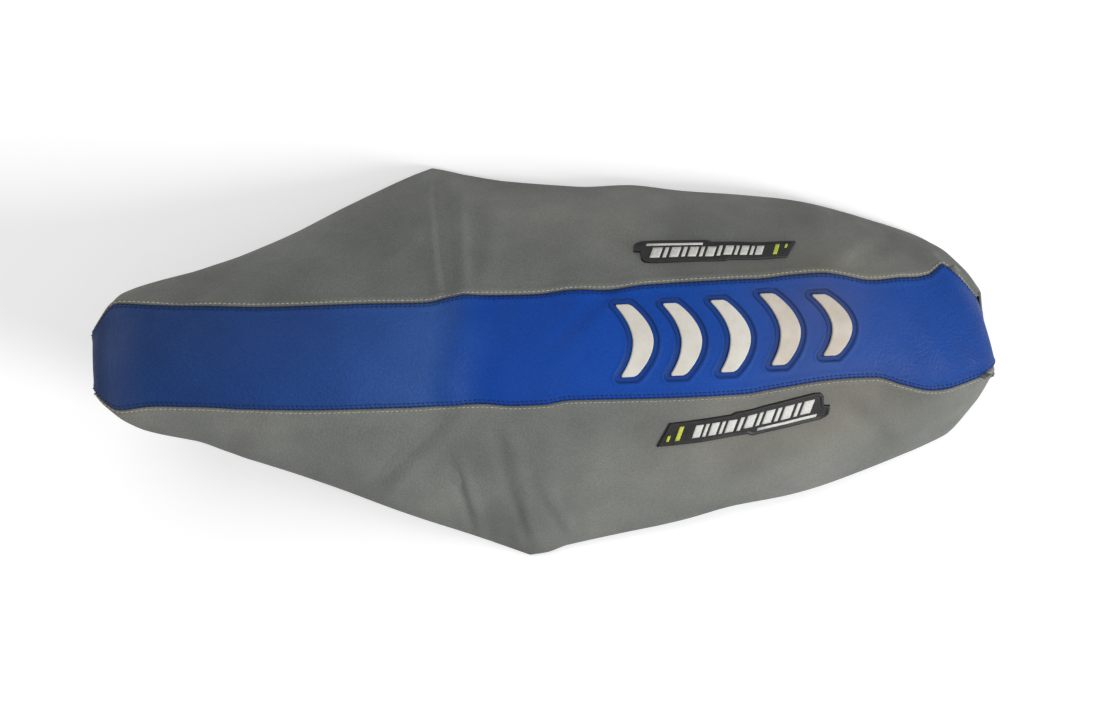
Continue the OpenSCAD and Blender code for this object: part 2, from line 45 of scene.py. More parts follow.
RIGHT, LEFT = 1, -1
MM = 0.001
LENGTH, WIDTH, HEIGHT = 0.700, 0.318, 0.151
NOSE_THICK, NOSE_R, TAIL_R = 0.036, 0.016, 0.026
CORNER = {RIGHT: 0.36, LEFT: 0.455}
STRIP_W, CROWN, BULGE = 0.088, 0.007, 0.06
ARCH_RISE, HEM_W, HEM_SHARE, TUCK_GAP = 0.042, 0.020, 0.45, 0.001
PAN_TOP, PAN_INSET = 0.00535, 0.0086
EDGE_ARC = 0.012
X_NOSE, X_TAIL = -LENGTH / 2, LENGTH / 2

STRIP_SHAPE = [[0, 0.66], [0.03, 0.89], [0.1, 0.87], [0.25, 0.89], [0.4, 0.94], [0.55, 0.97],
               [0.7, 1], [0.85, 0.89], [0.93, 1.03], [0.97, 0.87], [1, 0.6]]
TOP_LINE = [[0, 0.993], [0.12, 1], [0.25, 0.967], [0.39, 0.868], [0.55, 0.801], [0.7, 0.735],
            [0.85, 0.636], [1, 0.45]]
ARCH_SHAPE = [[0, 0.12], [0.1, 0.3], [0.3, 0.75], [0.42, 1], [0.6, 0.8], [0.8, 0.5],
              [0.95, 0.2], [1, 0.12]]
SKIRT_FRONT = [[0, 0.2], [0.1, 0.33], [0.25, 0.42], [0.5, 0.605], [0.75, 0.815], [1, 1]]
SKIRT_REAR = [[0, 1], [0.2, 0.92], [0.4, 0.85], [0.6, 0.77], [0.8, 0.63], [0.9, 0.525],
              [0.97, 0.34], [1, 0.2]]
EDGE_FRONT = [[0, 1], [0.12, 0.95], [0.3, 0.74], [0.6, 0.385], [0.85, 0.105], [1, 0]]
EDGE_REAR = [[0, 0], [0.2, 0.5], [0.5, 1], [0.8, 0.42], [0.93, 0], [1, 0.1]]
NOSE_LOW = HEIGHT * TOP_LINE[0][1] - NOSE_THICK


# ---- the shape of the seat ----

def smooth(table, x):
    """Monotone cubic through a list of [position, value] stations."""
    places, values = np.array(table, float).T
    gaps = np.diff(places)
    chords = np.diff(values) / gaps
    before, after = chords[:-1], chords[1:]
    total = np.where(before * after > 0, before + after, 1)
    inner = np.where(before * after > 0, 2 * before * after / total, 0)
    slopes = np.concatenate([chords[:1], inner, chords[-1:]])
    x = np.asarray(x, float)
    i = np.clip(np.searchsorted(places, x) - 1, 0, len(gaps) - 1)
    s = (x - places[i]) / gaps[i]
    return (values[i] * (1 + 2 * s) * (1 - s) ** 2 + slopes[i] * gaps[i] * s * (1 - s) ** 2
            + values[i + 1] * s * s * (3 - 2 * s) + slopes[i + 1] * gaps[i] * s * s * (s - 1))


def share(x):
    return np.clip((x - X_NOSE) / LENGTH, 0, 1)


def fall(d, r):
    """Fall of a rounded end at distance d from its tip."""
    return np.where(d >= r, 0, r - np.sqrt(np.maximum(0, r * r - (r - d) ** 2)))


def end_fall(x):
    return fall(x - X_NOSE, NOSE_R) + fall(X_TAIL - x, TAIL_R)


def along(x, side, front, rear):
    u, c = share(x), CORNER[side]
    return np.where(u < c, smooth(front, np.minimum(u / c, 1)),
                    smooth(rear, np.maximum((u - c) / (1 - c), 0)))


def strip_half(x):
    return STRIP_W / 2 * smooth(STRIP_SHAPE, share(x))


def skirt_half(x, side):
    return WIDTH / 2 * along(x, side, SKIRT_FRONT, SKIRT_REAR)


def edge_z(x, side):
    height = np.where(share(x) < CORNER[side], NOSE_LOW, EDGE_ARC)
    return end_fall(x) + height * along(x, side, EDGE_FRONT, EDGE_REAR)


def top_z(x):
    return HEIGHT * smooth(TOP_LINE, share(x)) - end_fall(x)


def fullness(x):
    return np.clip((top_z(x) - edge_z(x, RIGHT)) / NOSE_THICK, 0, 1)


def corner_x(side):
    return X_NOSE + CORNER[side] * LENGTH


ROW_MARKS = [0, 0.09, 0.32, 0.42, 0.9, 1]
ROW_PLACES = [X_NOSE, X_NOSE + NOSE_R, corner_x(RIGHT), corner_x(LEFT), X_TAIL - TAIL_R, X_TAIL]


def row_x(r):
    """Place along the seat of row r, which is even round the two rounded ends."""
    r = np.asarray(r, float)
    nose = X_NOSE + NOSE_R * (1 - np.cos(np.radians(90 * np.minimum(r / ROW_MARKS[1], 1))))
    left_over = np.minimum((1 - r) / (1 - ROW_MARKS[4]), 1)
    tail = X_TAIL - TAIL_R * (1 - np.cos(np.radians(90 * left_over)))
    middle = np.interp(r, ROW_MARKS[1:5], ROW_PLACES[1:5])
    return np.where(r < ROW_MARKS[1], nose, np.where(r > ROW_MARKS[4], tail, middle))


def row_at(x):
    """Row of a place between the two rounded ends."""
    return np.interp(x, ROW_PLACES, ROW_MARKS)


def point(x, y, z):
    return np.stack(np.broadcast_arrays(x, y, z), -1).astype(float)


def over_top(x, side, k):
    return point(x, side * k * strip_half(x), top_z(x) - CROWN * fullness(x) * k * k)


def down_side(x, side, v):
    wide = skirt_half(x, side) - strip_half(x)
    seam_z = top_z(x) - CROWN * fullness(x)
    high = seam_z - edge_z(x, side)
    swell = 4 * BULGE * v * (1 - v)
    return point(x, side * (strip_half(x) + wide * v + high * swell), seam_z - high * v + wide * swell)


def outside(r, side, v):
    """Outside of the cover: v is -1 on the centre line, 0 on the seam and 1 on the lower edge."""
    x, v = np.broadcast_arrays(row_x(r), np.asarray(v, float))
    over = over_top(x, side, 1 + np.minimum(v, 0))
    return np.where((v <= 0)[..., None], over, down_side(x, side, np.maximum(v, 0)))


def side_len(x, side):
    return np.linalg.norm(down_side(x, side, 1.0) - down_side(x, side, 0.0), axis=-1)


def under_z(x, y):
    """Underside of the hem, arched between the two lower edges."""
    sign = np.where(y < 0, -1, 1)
    half = np.where(y < 0, skirt_half(x, LEFT), skirt_half(x, RIGHT))
    k = np.clip(np.abs(y) / half, 0, 1)
    t = (1 + sign * k) / 2
    hollow = ARCH_RISE * smooth(ARCH_SHAPE, share(x)) * (1 - k * k) * fullness(x)
    return edge_z(x, LEFT) * (1 - t) + edge_z(x, RIGHT) * t + hollow


def unit(a):
    return a / np.maximum(np.linalg.norm(a, axis=-1, keepdims=True), 1e-12)


def hem_at(x, side):
    return np.minimum(HEM_W, HEM_SHARE * skirt_half(x, side))


def grid_normals(points):
    """Normals of a grid of points, from its own neighbours."""
    down = np.gradient(points, axis=0)
    across = np.gradient(points, axis=1)
    return unit(np.cross(down, across))


# ---- soft noise that is the same in every run ----

class SoftNoise:
    """Smooth random field over a plane, with features of about one size."""

    def __init__(self, seed, size):
        self.size = size
        self.values = np.random.default_rng(seed).uniform(-1, 1, (64, 64))

    def __call__(self, x, y):
        u, w = x / self.size + 500, y / self.size + 500
        i, j = np.floor(u).astype(int), np.floor(w).astype(int)
        s, t = u - i, w - j
        s, t = s * s * (3 - 2 * s), t * t * (3 - 2 * t)
        v = self.values
        a, b = v[i % 64, j % 64], v[(i + 1) % 64, j % 64]
        c, d = v[i % 64, (j + 1) % 64], v[(i + 1) % 64, (j + 1) % 64]
        return a * (1 - s) * (1 - t) + b * s * (1 - t) + c * (1 - s) * t + d * s * t


slow_noise = SoftNoise(3, 0.055)
mid_noise = SoftNoise(5, 0.021)
small_noise = SoftNoise(7, 0.008)


def bell(d, width):
    return np.exp(-(d / width) ** 2)


def step_up(d, start, end):
    t = np.clip((d - start) / (end - start), 0, 1)
    return t * t * (3 - 2 * t)


def crease(x, y, start, end, width, depth, fade=0.02):
    """A soft fold from start to end, in plan: a valley with a raised lip beside it."""
    a, b = np.array(start), np.array(end)
    d = (b - a) / np.linalg.norm(b - a)
    t = (x - a[0]) * d[0] + (y - a[1]) * d[1]
    off = -(x - a[0]) * d[1] + (y - a[1]) * d[0]
    long = np.linalg.norm(b - a)
    ends = step_up(t, -fade, fade * 0.5) * (1 - step_up(t, long - fade * 0.5, long + fade))
    return depth * ends * (0.8 * bell(off - 1.3 * width, width) - bell(off, width))


# ---- gripper inserts ----

GRIPPERS = 5
GRIPPER_FIRST, GRIPPER_PITCH, GRIPPER_BOW, TIP_LEAD = 0.066, 0.0388, 0.013, 0.001
GRIPPER_LEN, GRIPPER_W, GRIPPER_TAPER, LAST_SIZE = 0.056, 0.0160, 0.24, 0.86
CHANNEL = 4.0 * MM
# Each insert's place on the sewn cover: millimetres to the rear and to the right of its plain place,
# and its lean
GRIPPER_MOVES = [(-14.2, -0.2, 0.03), (-15.8, -0.7, 0.06), (-16.9, 0.3, 0.09),
                 (-16.6, 4.0, 0.11), (-14.6, 5.7, 0.13)]


def gripper_len(i):
    return GRIPPER_LEN * (LAST_SIZE if i == GRIPPERS - 1 else 1)


def gripper_line(i, a):
    """Middle of an insert across the seat: a runs from -1 to 1."""
    return GRIPPER_FIRST + GRIPPER_PITCH * i + GRIPPER_BOW * (1 - a * a) - TIP_LEAD * np.abs(a)


def gripper_half(a):
    return GRIPPER_W * (1 - GRIPPER_TAPER * a * a) / 2


def gripper_at(i, a, off):
    """Plan place on an insert: a from -1 to 1 across the seat and off behind its middle line."""
    rear, right, lean = GRIPPER_MOVES[i]
    y = a * gripper_len(i) / 2
    return gripper_line(i, a) + off + rear * MM - lean * y, y + right * MM


def gripper_outline(i, steps=40):
    a = np.linspace(-1, 1, steps)
    front = np.stack(gripper_at(i, a, -gripper_half(a)), -1)
    back = np.stack(gripper_at(i, a, gripper_half(a)), -1)
    return np.concatenate([front, back[::-1]])


def distance_to(outline, x, y):
    """Distance in plan to a closed outline, negative inside it."""
    best = np.full(x.shape, np.inf)
    inside = np.zeros(x.shape, bool)
    for p, q in zip(outline, np.roll(outline, -1, 0)):
        d = q - p
        t = np.clip(((x - p[0]) * d[0] + (y - p[1]) * d[1]) / max(d @ d, 1e-15), 0, 1)
        best = np.minimum(best, np.hypot(x - p[0] - t * d[0], y - p[1] - t * d[1]))
        crosses = (p[1] > y) != (q[1] > y)
        rise = d[1] if abs(d[1]) > 1e-12 else 1e-12
        inside ^= crosses & (x < p[0] + (y - p[1]) * d[0] / rise)
    return np.where(inside, -best, best)


def gripper_distance(x, y):
    """Distance to the nearest insert, over the part of the cover that holds them."""
    best = np.full(x.shape, 1.0)
    near = (x > GRIPPER_FIRST - 0.05) & (x < GRIPPER_FIRST + GRIPPER_PITCH * GRIPPERS + 0.03)
    near &= np.abs(y) < GRIPPER_LEN / 2 + 0.018
    if near.any():
        found = [distance_to(gripper_outline(i), x[near], y[near]) for i in range(GRIPPERS)]
        best[near] = np.min(found, axis=0)
    return best


# ---- how the sewn cover departs from its plain shape ----

STITCH_PITCH = 3.6 * MM
FOLD_DEPTH = 1.5
CREASE_X = -0.077
SEAM_DIP, SEAM_LIP, LIP_PLACE, PUCKER = 1.3 * MM, 0.55 * MM, 4.6 * MM, 0.22 * MM
CHANNEL_DEPTH, CHANNEL_LIP = 0.75 * MM, 0.38 * MM
SKIN_T = 1.7 * MM


def seam_pull(distance, x):
    """The cover dips to the seam and stands up beside it, puckered at every other stitch."""
    pull = SEAM_LIP * bell(distance - LIP_PLACE, 2.6 * MM) - SEAM_DIP * bell(distance, 1.5 * MM)
    beat = 0.5 + 0.5 * np.cos(math.pi * x / STITCH_PITCH)
    return pull - PUCKER * beat * bell(distance - 2.4 * MM, 1.2 * MM)


def top_relief(x, y, distance):
    """Height of the centre panel's relief over its plain shape."""
    relief = seam_pull(distance, x)
    relief += 0.35 * MM * slow_noise(x, y) + 0.12 * MM * mid_noise(x + 1, y)
    lean = CREASE_X + 0.10 * y + 0.004 * np.sin(y * 60)
    relief += 1.5 * MM * bell(x - lean, 0.010) - 1.1 * MM * bell(x - lean - 0.022, 0.013)
    relief += crease(x, y, (0.046, 0.044), (-0.006, -0.004), 0.0075, 1.1 * MM)
    relief += crease(x, y, (0.270, 0.004), (0.298, -0.044), 0.0080, 1.0 * MM)
    gap = gripper_distance(x, y)
    relief -= CHANNEL_DEPTH * (1 - step_up(gap, CHANNEL - 0.5 * MM, CHANNEL + 0.5 * MM))
    relief += CHANNEL_LIP * bell(gap - CHANNEL - 1.5 * MM, 1.1 * MM)
    return relief, gap


FOLDS = {
    RIGHT: [
        ((-0.083, 0.050), (-0.092, 0.142), 0.0050, 1.8), ((-0.070, 0.052), (-0.074, 0.132), 0.0055, -1.3),
        ((-0.052, 0.060), (-0.045, 0.120), 0.0090, -0.9), ((-0.285, 0.046), (-0.250, 0.066), 0.0110, 1.2),
        ((-0.120, 0.060), (-0.190, 0.082), 0.0110, 0.8), ((0.230, 0.052), (0.275, 0.078), 0.0085, 1.0),
        ((0.150, 0.095), (0.250, 0.070), 0.0120, 0.7), ((-0.100, 0.110), (-0.135, 0.085), 0.0080, 0.9)],
    LEFT: [
        ((-0.089, -0.052), (-0.143, -0.096), 0.0075, 1.5), ((-0.085, -0.096), (-0.078, -0.128), 0.0050, 1.3),
        ((-0.050, -0.070), (-0.044, -0.112), 0.0075, 1.0), ((-0.060, -0.100), (-0.110, -0.100), 0.0080, 0.8),
        ((-0.040, -0.122), (-0.034, -0.148), 0.0055, 1.2), ((-0.020, -0.118), (-0.004, -0.146), 0.0055, 0.9),
        ((0.070, -0.108), (0.120, -0.096), 0.0130, 1.0), ((0.225, -0.060), (0.262, -0.086), 0.0090, 1.0),
        ((-0.230, -0.046), (-0.255, -0.062), 0.0090, 0.8)],
}


def side_relief(x, y, side, distance, reach):
    """Height of a side panel's relief; reach is how far down the side a point is, from 0 to 1."""
    relief = seam_pull(distance, x)
    calm = step_up(distance, 0.004, 0.02)
    relief += calm * (0.9 * MM * slow_noise(x, y * 1.3) + 0.3 * MM * mid_noise(x, y))
    for start, end, width, depth in FOLDS[side]:
        relief += crease(x, y, start, end, width, FOLD_DEPTH * depth * MM)
    away = (x - corner_x(side)) / 0.07
    pulls = np.sin(2 * math.pi * (x - 0.25 * reach * 0.06) / 0.017 + 2.5 * slow_noise(x, y))
    relief += 0.35 * MM * pulls * bell(away, 1.0) * step_up(reach, 0.55, 0.97)
    return relief


# ---- mesh building ----

def grid_faces(rows, cols, first=0, flip=False):
    i, j = np.meshgrid(np.arange(rows - 1), np.arange(cols - 1), indexing="ij")
    p = (first + i * cols + j).ravel()
    quads = np.stack([p, p + 1, p + cols + 1, p + cols], -1)
    return quads[:, ::-1] if flip else quads


def rim_loop(rows, cols):
    """Indices round the outside of a grid, in order."""
    top = np.arange(cols)
    right = np.arange(1, rows) * cols + cols - 1
    bottom = (rows - 1) * cols + np.arange(cols - 2, -1, -1)
    left = np.arange(rows - 2, 0, -1) * cols
    return np.concatenate([top, right, bottom, left])


def closed_skin(outer, inner):
    """Vertices and faces of the solid between two grids of the same size."""
    rows, cols = outer.shape[:2]
    total = rows * cols
    rim = rim_loop(rows, cols)
    after = np.roll(rim, -1)
    walls = np.stack([rim, after, after + total, rim + total], -1)
    faces = np.concatenate([grid_faces(rows, cols, flip=True), grid_faces(rows, cols, total), walls])
    return np.concatenate([outer.reshape(-1, 3), inner.reshape(-1, 3)]), faces


def make_piece(name, parts, material, smooth_shade=True, attributes=None):
    """One object from a list of (vertices, faces), riding on the seat."""
    vertices, faces, count = [], [], 0
    for v, f in parts:
        vertices.append(v)
        faces.append(np.asarray(f) + count)
        count += len(v)
    vertices = np.concatenate(vertices)
    mesh = bpy.data.meshes.new(name)
    if all(f.shape[1] == 4 for f in faces):
        quads = np.concatenate(faces).astype(np.int32)
        mesh.vertices.add(len(vertices))
        mesh.vertices.foreach_set("co", vertices.astype(np.float32).ravel())
        mesh.loops.add(quads.size)
        mesh.loops.foreach_set("vertex_index", quads.ravel())
        mesh.polygons.add(len(quads))
        mesh.polygons.foreach_set("loop_start", np.arange(0, quads.size, 4, dtype=np.int32))
        mesh.update(calc_edges=True)
    else:
        mesh.from_pydata(vertices.tolist(), [], [list(map(int, f)) for group in faces for f in group])
    mesh.validate()
    for key, values in (attributes or {}).items():
        layer = mesh.attributes.new(key, "FLOAT", "POINT")
        layer.data.foreach_set("value", np.asarray(values, np.float32).ravel())
    if smooth_shade:
        mesh.polygons.foreach_set("use_smooth", np.ones(len(mesh.polygons), bool))
    mesh.materials.append(material)
    piece = bpy.data.objects.new(name, mesh)
    bpy.context.scene.collection.objects.link(piece)
    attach(piece, "root")
    return piece


# ---- materials ----

def colour(r, g, b):
    """Screen colour from 0 to 255 as the linear colour that a shader takes."""
    def line(c):
        c /= 255
        return c / 12.92 if c <= 0.04045 else ((c + 0.055) / 1.055) ** 2.4
    return (line(r), line(g), line(b), 1)


class Nodes:
    """Short way to write a material's nodes."""

    def __init__(self, name):
        self.material = bpy.data.materials.new(name)
        self.material.use_nodes = True
        self.tree = self.material.node_tree
        self.shader = self.tree.nodes["Principled BSDF"]
        self.place = self.tree.nodes.new("ShaderNodeTexCoord").outputs["Object"]

    def link(self, source, target):
        self.tree.links.new(source, target)

    def set(self, node, key, value):
        if isinstance(value, bpy.types.NodeSocket):
            self.link(value, node.inputs[key])
        else:
            node.inputs[key].default_value = value

    def noise(self, scale, detail=2.0, roughness=0.5, place=None):
        n = self.tree.nodes.new("ShaderNodeTexNoise")
        self.link(place or self.place, n.inputs["Vector"])
        n.inputs["Scale"].default_value = scale
        n.inputs["Detail"].default_value = detail
        n.inputs["Roughness"].default_value = roughness
        return n.outputs["Fac"]

    def cells(self, scale, feature="F1", place=None):
        n = self.tree.nodes.new("ShaderNodeTexVoronoi")
        n.feature = feature
        self.link(place or self.place, n.inputs["Vector"])
        n.inputs["Scale"].default_value = scale
        return n.outputs["Distance"]

    def stretched(self, sx, sy, sz, turn=0.0):
        n = self.tree.nodes.new("ShaderNodeMapping")
        self.link(self.place, n.inputs["Vector"])
        n.inputs["Scale"].default_value = (sx, sy, sz)
        n.inputs["Rotation"].default_value = (0, 0, turn)
        return n.outputs["Vector"]

    def fit(self, value, low, high, to_low=0.0, to_high=1.0):
        n = self.tree.nodes.new("ShaderNodeMapRange")
        self.link(value, n.inputs["Value"])
        for key, number in (("From Min", low), ("From Max", high), ("To Min", to_low), ("To Max", to_high)):
            n.inputs[key].default_value = number
        return n.outputs["Result"]

    def sums(self, kind, a, b):
        n = self.tree.nodes.new("ShaderNodeMath")
        n.operation = kind
        self.set(n, 0, a)
        self.set(n, 1, b)
        return n.outputs["Value"]

    def mix(self, factor, a, b, blend="MIX"):
        n = self.tree.nodes.new("ShaderNodeMix")
        n.data_type = "RGBA"
        n.blend_type = blend
        self.set(n, 0, factor)
        self.set(n, 6, a)
        self.set(n, 7, b)
        return n.outputs[2]

    def ramp(self, value, stops):
        n = self.tree.nodes.new("ShaderNodeValToRGB")
        while len(n.color_ramp.elements) < len(stops):
            n.color_ramp.elements.new(0.5)
        for element, (place, shade) in zip(n.color_ramp.elements, stops):
            element.position = place
            element.color = shade
        self.link(value, n.inputs["Fac"])
        return n.outputs["Color"]

    def attribute(self, name):
        n = self.tree.nodes.new("ShaderNodeAttribute")
        n.attribute_name = name
        return n.outputs["Fac"]

    def axis(self, letter):
        n = self.tree.nodes.new("ShaderNodeSeparateXYZ")
        self.link(self.place, n.inputs["Vector"])
        return n.outputs[letter]

    def bump(self, height, strength, distance, under=None):
        n = self.tree.nodes.new("ShaderNodeBump")
        n.inputs["Strength"].default_value = strength
        n.inputs["Distance"].default_value = distance
        self.link(height, n.inputs["Height"])
        if under:
            self.link(under, n.inputs["Normal"])
        return n.outputs["Normal"]

    def finish(self, base, roughness, normal=None, **fixed):
        self.set(self.shader, "Base Color", base)
        self.set(self.shader, "Roughness", roughness)
        if normal:
            self.link(normal, self.shader.inputs["Normal"])
        for key, value in fixed.items():
            self.shader.inputs[key.replace("_", " ")].default_value = value
        return self.material


def grained_vinyl(name, base, m, coarse=None, dirt_colour=colour(120, 104, 84), grain=1.0, **fixed):
    """Embossed vinyl: small rounded cells with fine pits, and coarser grain where coarse is 1."""
    shade = m.noise(14, 3, 0.55)
    clouds = m.ramp(shade, [(0.3, (0.80, 0.80, 0.80, 1)), (0.7, (1.2, 1.2, 1.2, 1))])
    base = m.mix(0.5, base, m.mix(1.0, base, clouds, "MULTIPLY"))
    speck = m.noise(750, 2, 0.7)
    specks = m.ramp(speck, [(0.32, (0.62, 0.62, 0.62, 1)), (0.68, (1.45, 1.45, 1.45, 1))])
    base = m.mix(0.35, base, m.mix(1.0, base, specks, "MULTIPLY"))
    base = m.mix(m.attribute("soil"), base, dirt_colour)
    # Painted shade: the shade attribute darkens the seam lines and the insert channels towards near black.
    base = m.mix(m.attribute("shade"), base, (0.004, 0.008, 0.02, 1))
    cells = m.cells(1050)
    pits = m.noise(1900, 2, 0.6)
    height = m.sums("ADD", m.sums("MULTIPLY", cells, 0.8), m.sums("MULTIPLY", pits, 0.7))
    fine = m.bump(height, 0.34 * grain, 0.00035)
    if coarse is not None:
        big = m.sums("MULTIPLY", m.sums("ADD", m.noise(420, 3, 0.6), m.cells(480)), coarse)
        fine = m.bump(big, 0.42 * grain, 0.0007, fine)
    rough = m.fit(m.noise(60, 4, 0.6), 0.3, 0.7, 0.44, 0.60)
    return m.finish(base, rough, fine, Specular_IOR_Level=0.16, **fixed)


def blue_material():
    m = Nodes("blue_vinyl")
    run = m.fit(m.axis("X"), X_NOSE, X_TAIL)
    wobble = m.sums("MULTIPLY", m.sums("SUBTRACT", m.noise(22, 2), 0.5), 0.05)
    run = m.sums("ADD", run, wobble)
    # The ramp along the seat paints a greyish sheen from behind the nose to the crease and again towards the
    # tail, over the blue's own colour; the dark, greyed nose is worn blue.
    blues_with_painted_sheen = [(0.00, colour(30, 57, 100)), (0.06, colour(24, 54, 104)), (0.16, colour(25, 58, 116)),
             (0.27, colour(31, 66, 130)), (0.36, colour(42, 78, 142)), (0.395, colour(22, 66, 142)),
             (0.43, colour(6, 60, 144)), (0.56, colour(8, 66, 156)), (0.72, colour(14, 69, 154)),
             (0.80, colour(27, 71, 148)), (0.92, colour(22, 66, 143)), (1.00, colour(22, 60, 132))]
    base = m.ramp(run, blues_with_painted_sheen)
    ends = m.sums("MAXIMUM", m.fit(m.axis("X"), -0.02, -0.10), m.fit(m.axis("X"), 0.20, 0.28))
    return grained_vinyl("blue_vinyl", base, m, coarse=ends, dirt_colour=colour(84, 88, 122))


def grey_material():
    m = Nodes("grey_vinyl")
    soft = m.noise(7, 3, 0.5)
    base = m.ramp(soft, [(0.30, colour(104, 106, 103)), (0.52, colour(113, 115, 111)),
                         (0.72, colour(122, 123, 118))])
    coarse = m.fit(m.axis("X"), 0.02, -0.12)
    return grained_vinyl("grey_vinyl", base, m, coarse=coarse, dirt_colour=colour(118, 104, 84))


def rubber_material(name, base, dirt, roughness=(0.42, 0.58)):
    m = Nodes(name)
    cloud = m.noise(45, 4, 0.6)
    tone = m.mix(m.fit(cloud, 0.35, 0.7, 0.0, 0.35), base, dirt)
    marks = m.noise(240, 3, 0.75)
    tone = m.mix(m.fit(marks, 0.55, 0.8, 0.0, 0.35), tone, dirt)
    tone = m.mix(m.attribute("soil"), tone, dirt)
    fine = m.bump(m.noise(1500, 2, 0.6), 0.25, 0.0003)
    return m.finish(tone, m.fit(cloud, 0.3, 0.7, *roughness), fine)


def badge_material():
    m = Nodes("badge_rubber")
    dust = m.noise(160, 4, 0.65)
    tone = m.ramp(dust, [(0.35, colour(17, 17, 18)), (0.75, colour(38, 37, 36))])
    fine = m.bump(m.noise(2300, 2, 0.7), 0.5, 0.0002)
    return m.finish(tone, m.fit(dust, 0.3, 0.7, 0.38, 0.6), fine)


def print_material(name, base, dirt):
    m = Nodes(name)
    wear = m.noise(420, 3, 0.7)
    tone = m.mix(m.fit(wear, 0.45, 0.8, 0.0, 0.5), base, dirt)
    return m.finish(tone, m.fit(wear, 0.3, 0.7, 0.4, 0.6), m.bump(wear, 0.2, 0.0002))


def thread_material(name, base, dark):
    """Twisted thread: fine slanting strands."""
    m = Nodes(name)
    twist = m.noise(1400, 2, 0.5, m.stretched(1.0, 2.6, 1.0, 0.7))
    tone = m.mix(m.fit(twist, 0.35, 0.65), base, dark)
    return m.finish(tone, 0.72, m.bump(twist, 0.7, 0.0003))


def foam_material():
    m = Nodes("foam")
    pores = m.cells(520)
    small = m.cells(1300)
    both = m.sums("MULTIPLY", pores, m.fit(small, 0.0, 0.6, 0.6, 1.0))
    # The tone darkens towards the bottom of each pore, where the bump is lowest: painted shade in the pores.
    tone = m.ramp(both, [(0.02, colour(120, 112, 78)), (0.22, colour(196, 186, 140)),
                         (0.5, colour(214, 205, 160))])
    return m.finish(tone, 0.93, m.bump(both, 0.9, 0.0008))


def plastic_material():
    m = Nodes("pan_plastic")
    flow = m.noise(30, 4, 0.6, m.stretched(0.5, 1.6, 1.0))
    scuff = m.noise(260, 4, 0.75, m.stretched(0.25, 1.4, 1.0, 0.3))
    tone = m.ramp(flow, [(0.3, colour(25, 25, 27)), (0.7, colour(36, 36, 38))])
    tone = m.mix(m.fit(scuff, 0.62, 0.85, 0.0, 0.4), tone, colour(78, 78, 78))
    fine = m.bump(m.cells(800), 0.3, 0.0003)
    return m.finish(tone, m.fit(scuff, 0.3, 0.7, 0.42, 0.62), fine)


def steel_material(name, base, dark, rust, roughness):
    m = Nodes(name)
    grain = m.noise(700, 3, 0.6, m.stretched(0.15, 2.0, 1.0))
    tone = m.mix(m.fit(grain, 0.3, 0.7), base, dark)
    spots = m.noise(95, 5, 0.75)
    tone = m.mix(m.fit(spots, 0.62, 0.8, 0.0, 0.7), tone, rust)
    fine = m.bump(grain, 0.18, 0.0002)
    return m.finish(tone, m.fit(spots, 0.3, 0.7, *roughness), fine, Metallic=0.85)


blue_vinyl = blue_material()
grey_vinyl = grey_material()
white_rubber = rubber_material("white_rubber", colour(213, 210, 201), colour(176, 164, 148))
worn_rubber = rubber_material("worn_rubber", colour(206, 198, 187), colour(160, 143, 124))
black_rubber = rubber_material("black_rubber", colour(24, 24, 25), colour(60, 58, 54), (0.6, 0.8))
badge_black = badge_material()
white_print = print_material("white_print", colour(214, 213, 208), colour(150, 147, 140))
lime_print = print_material("lime_print", colour(196, 204, 66), colour(140, 140, 60))
pale_thread = thread_material("pale_thread", colour(205, 199, 178), colour(150, 146, 130))
navy_thread = thread_material("navy_thread", colour(10, 27, 66), colour(5, 13, 36))
foam_grain = foam_material()
pan_black = plastic_material()
bracket_steel = steel_material("bracket_steel", colour(62, 64, 67), colour(40, 41, 44),
                               colour(92, 62, 42), (0.45, 0.65))
zinc_steel = steel_material("zinc_steel", colour(176, 178, 180), colour(132, 134, 138),
                            colour(140, 120, 92), (0.28, 0.48))


# ---- the cover as one sewn skin ----

def spaced(marks):
    """Places from (start, end, spacing) stretches, each place once."""
    places = [np.arange(0, round((b - a) / gap)) * (b - a) / round((b - a) / gap) + a for a, b, gap in marks]
    return np.concatenate(places + [[marks[-1][1]]])


# Rows of vertices along the seat stand closer round the inserts
FINE_START, FINE_END = GRIPPER_FIRST - 0.031, GRIPPER_FIRST + GRIPPER_PITCH * GRIPPERS - 0.012
main_x = spaced([(ROW_PLACES[1], FINE_START, 1.6 * MM), (FINE_START, FINE_END, 0.8 * MM),
                 (FINE_END, ROW_PLACES[4], 1.5 * MM)])
nose_rows = np.linspace(0, ROW_MARKS[1], 18)[:-1]
tail_rows = np.linspace(ROW_MARKS[4], 1, 24)[1:]
rows = np.concatenate([nose_rows, row_at(main_x), tail_rows])
xs = row_x(rows)

TOP_STEPS = 40
SIDE_STEPS = 66
# Rows of vertices down a side crowd towards the seam by this power
SIDE_POWER = 1.35
HEM_STEPS = 7


def wrap_rows(far, end, count=14):
    return end + (row_at(far) - end) * np.arange(1, count + 1) / count


def tucked_half(x):
    room = [skirt_half(x, side) - hem_at(x, side) - TUCK_GAP for side in (LEFT, RIGHT)]
    return np.minimum(strip_half(x), np.minimum(*room))


def tucked(r, k):
    """Underside of the centre panel where it turns under the ends."""
    x = row_x(r)[:, None]
    y = k[None, :] * tucked_half(x)
    return point(x, y, under_z(x, y))


def bare_top():
    """Grid of the centre panel, from its tuck under the nose to its tuck under the tail."""
    k = np.linspace(-1, 1, 2 * TOP_STEPS + 1)
    main = np.where(k[None, :, None] < 0, outside(rows[:, None], LEFT, np.abs(k)[None, :] - 1),
                    outside(rows[:, None], RIGHT, np.abs(k)[None, :] - 1))
    nose = tucked(wrap_rows(X_NOSE + 0.022, 0.0)[::-1], k)
    tail = tucked(wrap_rows(X_TAIL - 0.035, 1.0), k)
    return np.concatenate([nose, main, tail]), len(nose), k


def down_share(count):
    """How far down the side each of the first columns is, from 0 at the seam to 1 at the lower edge."""
    return np.minimum(np.arange(count) / SIDE_STEPS, 1) ** SIDE_POWER


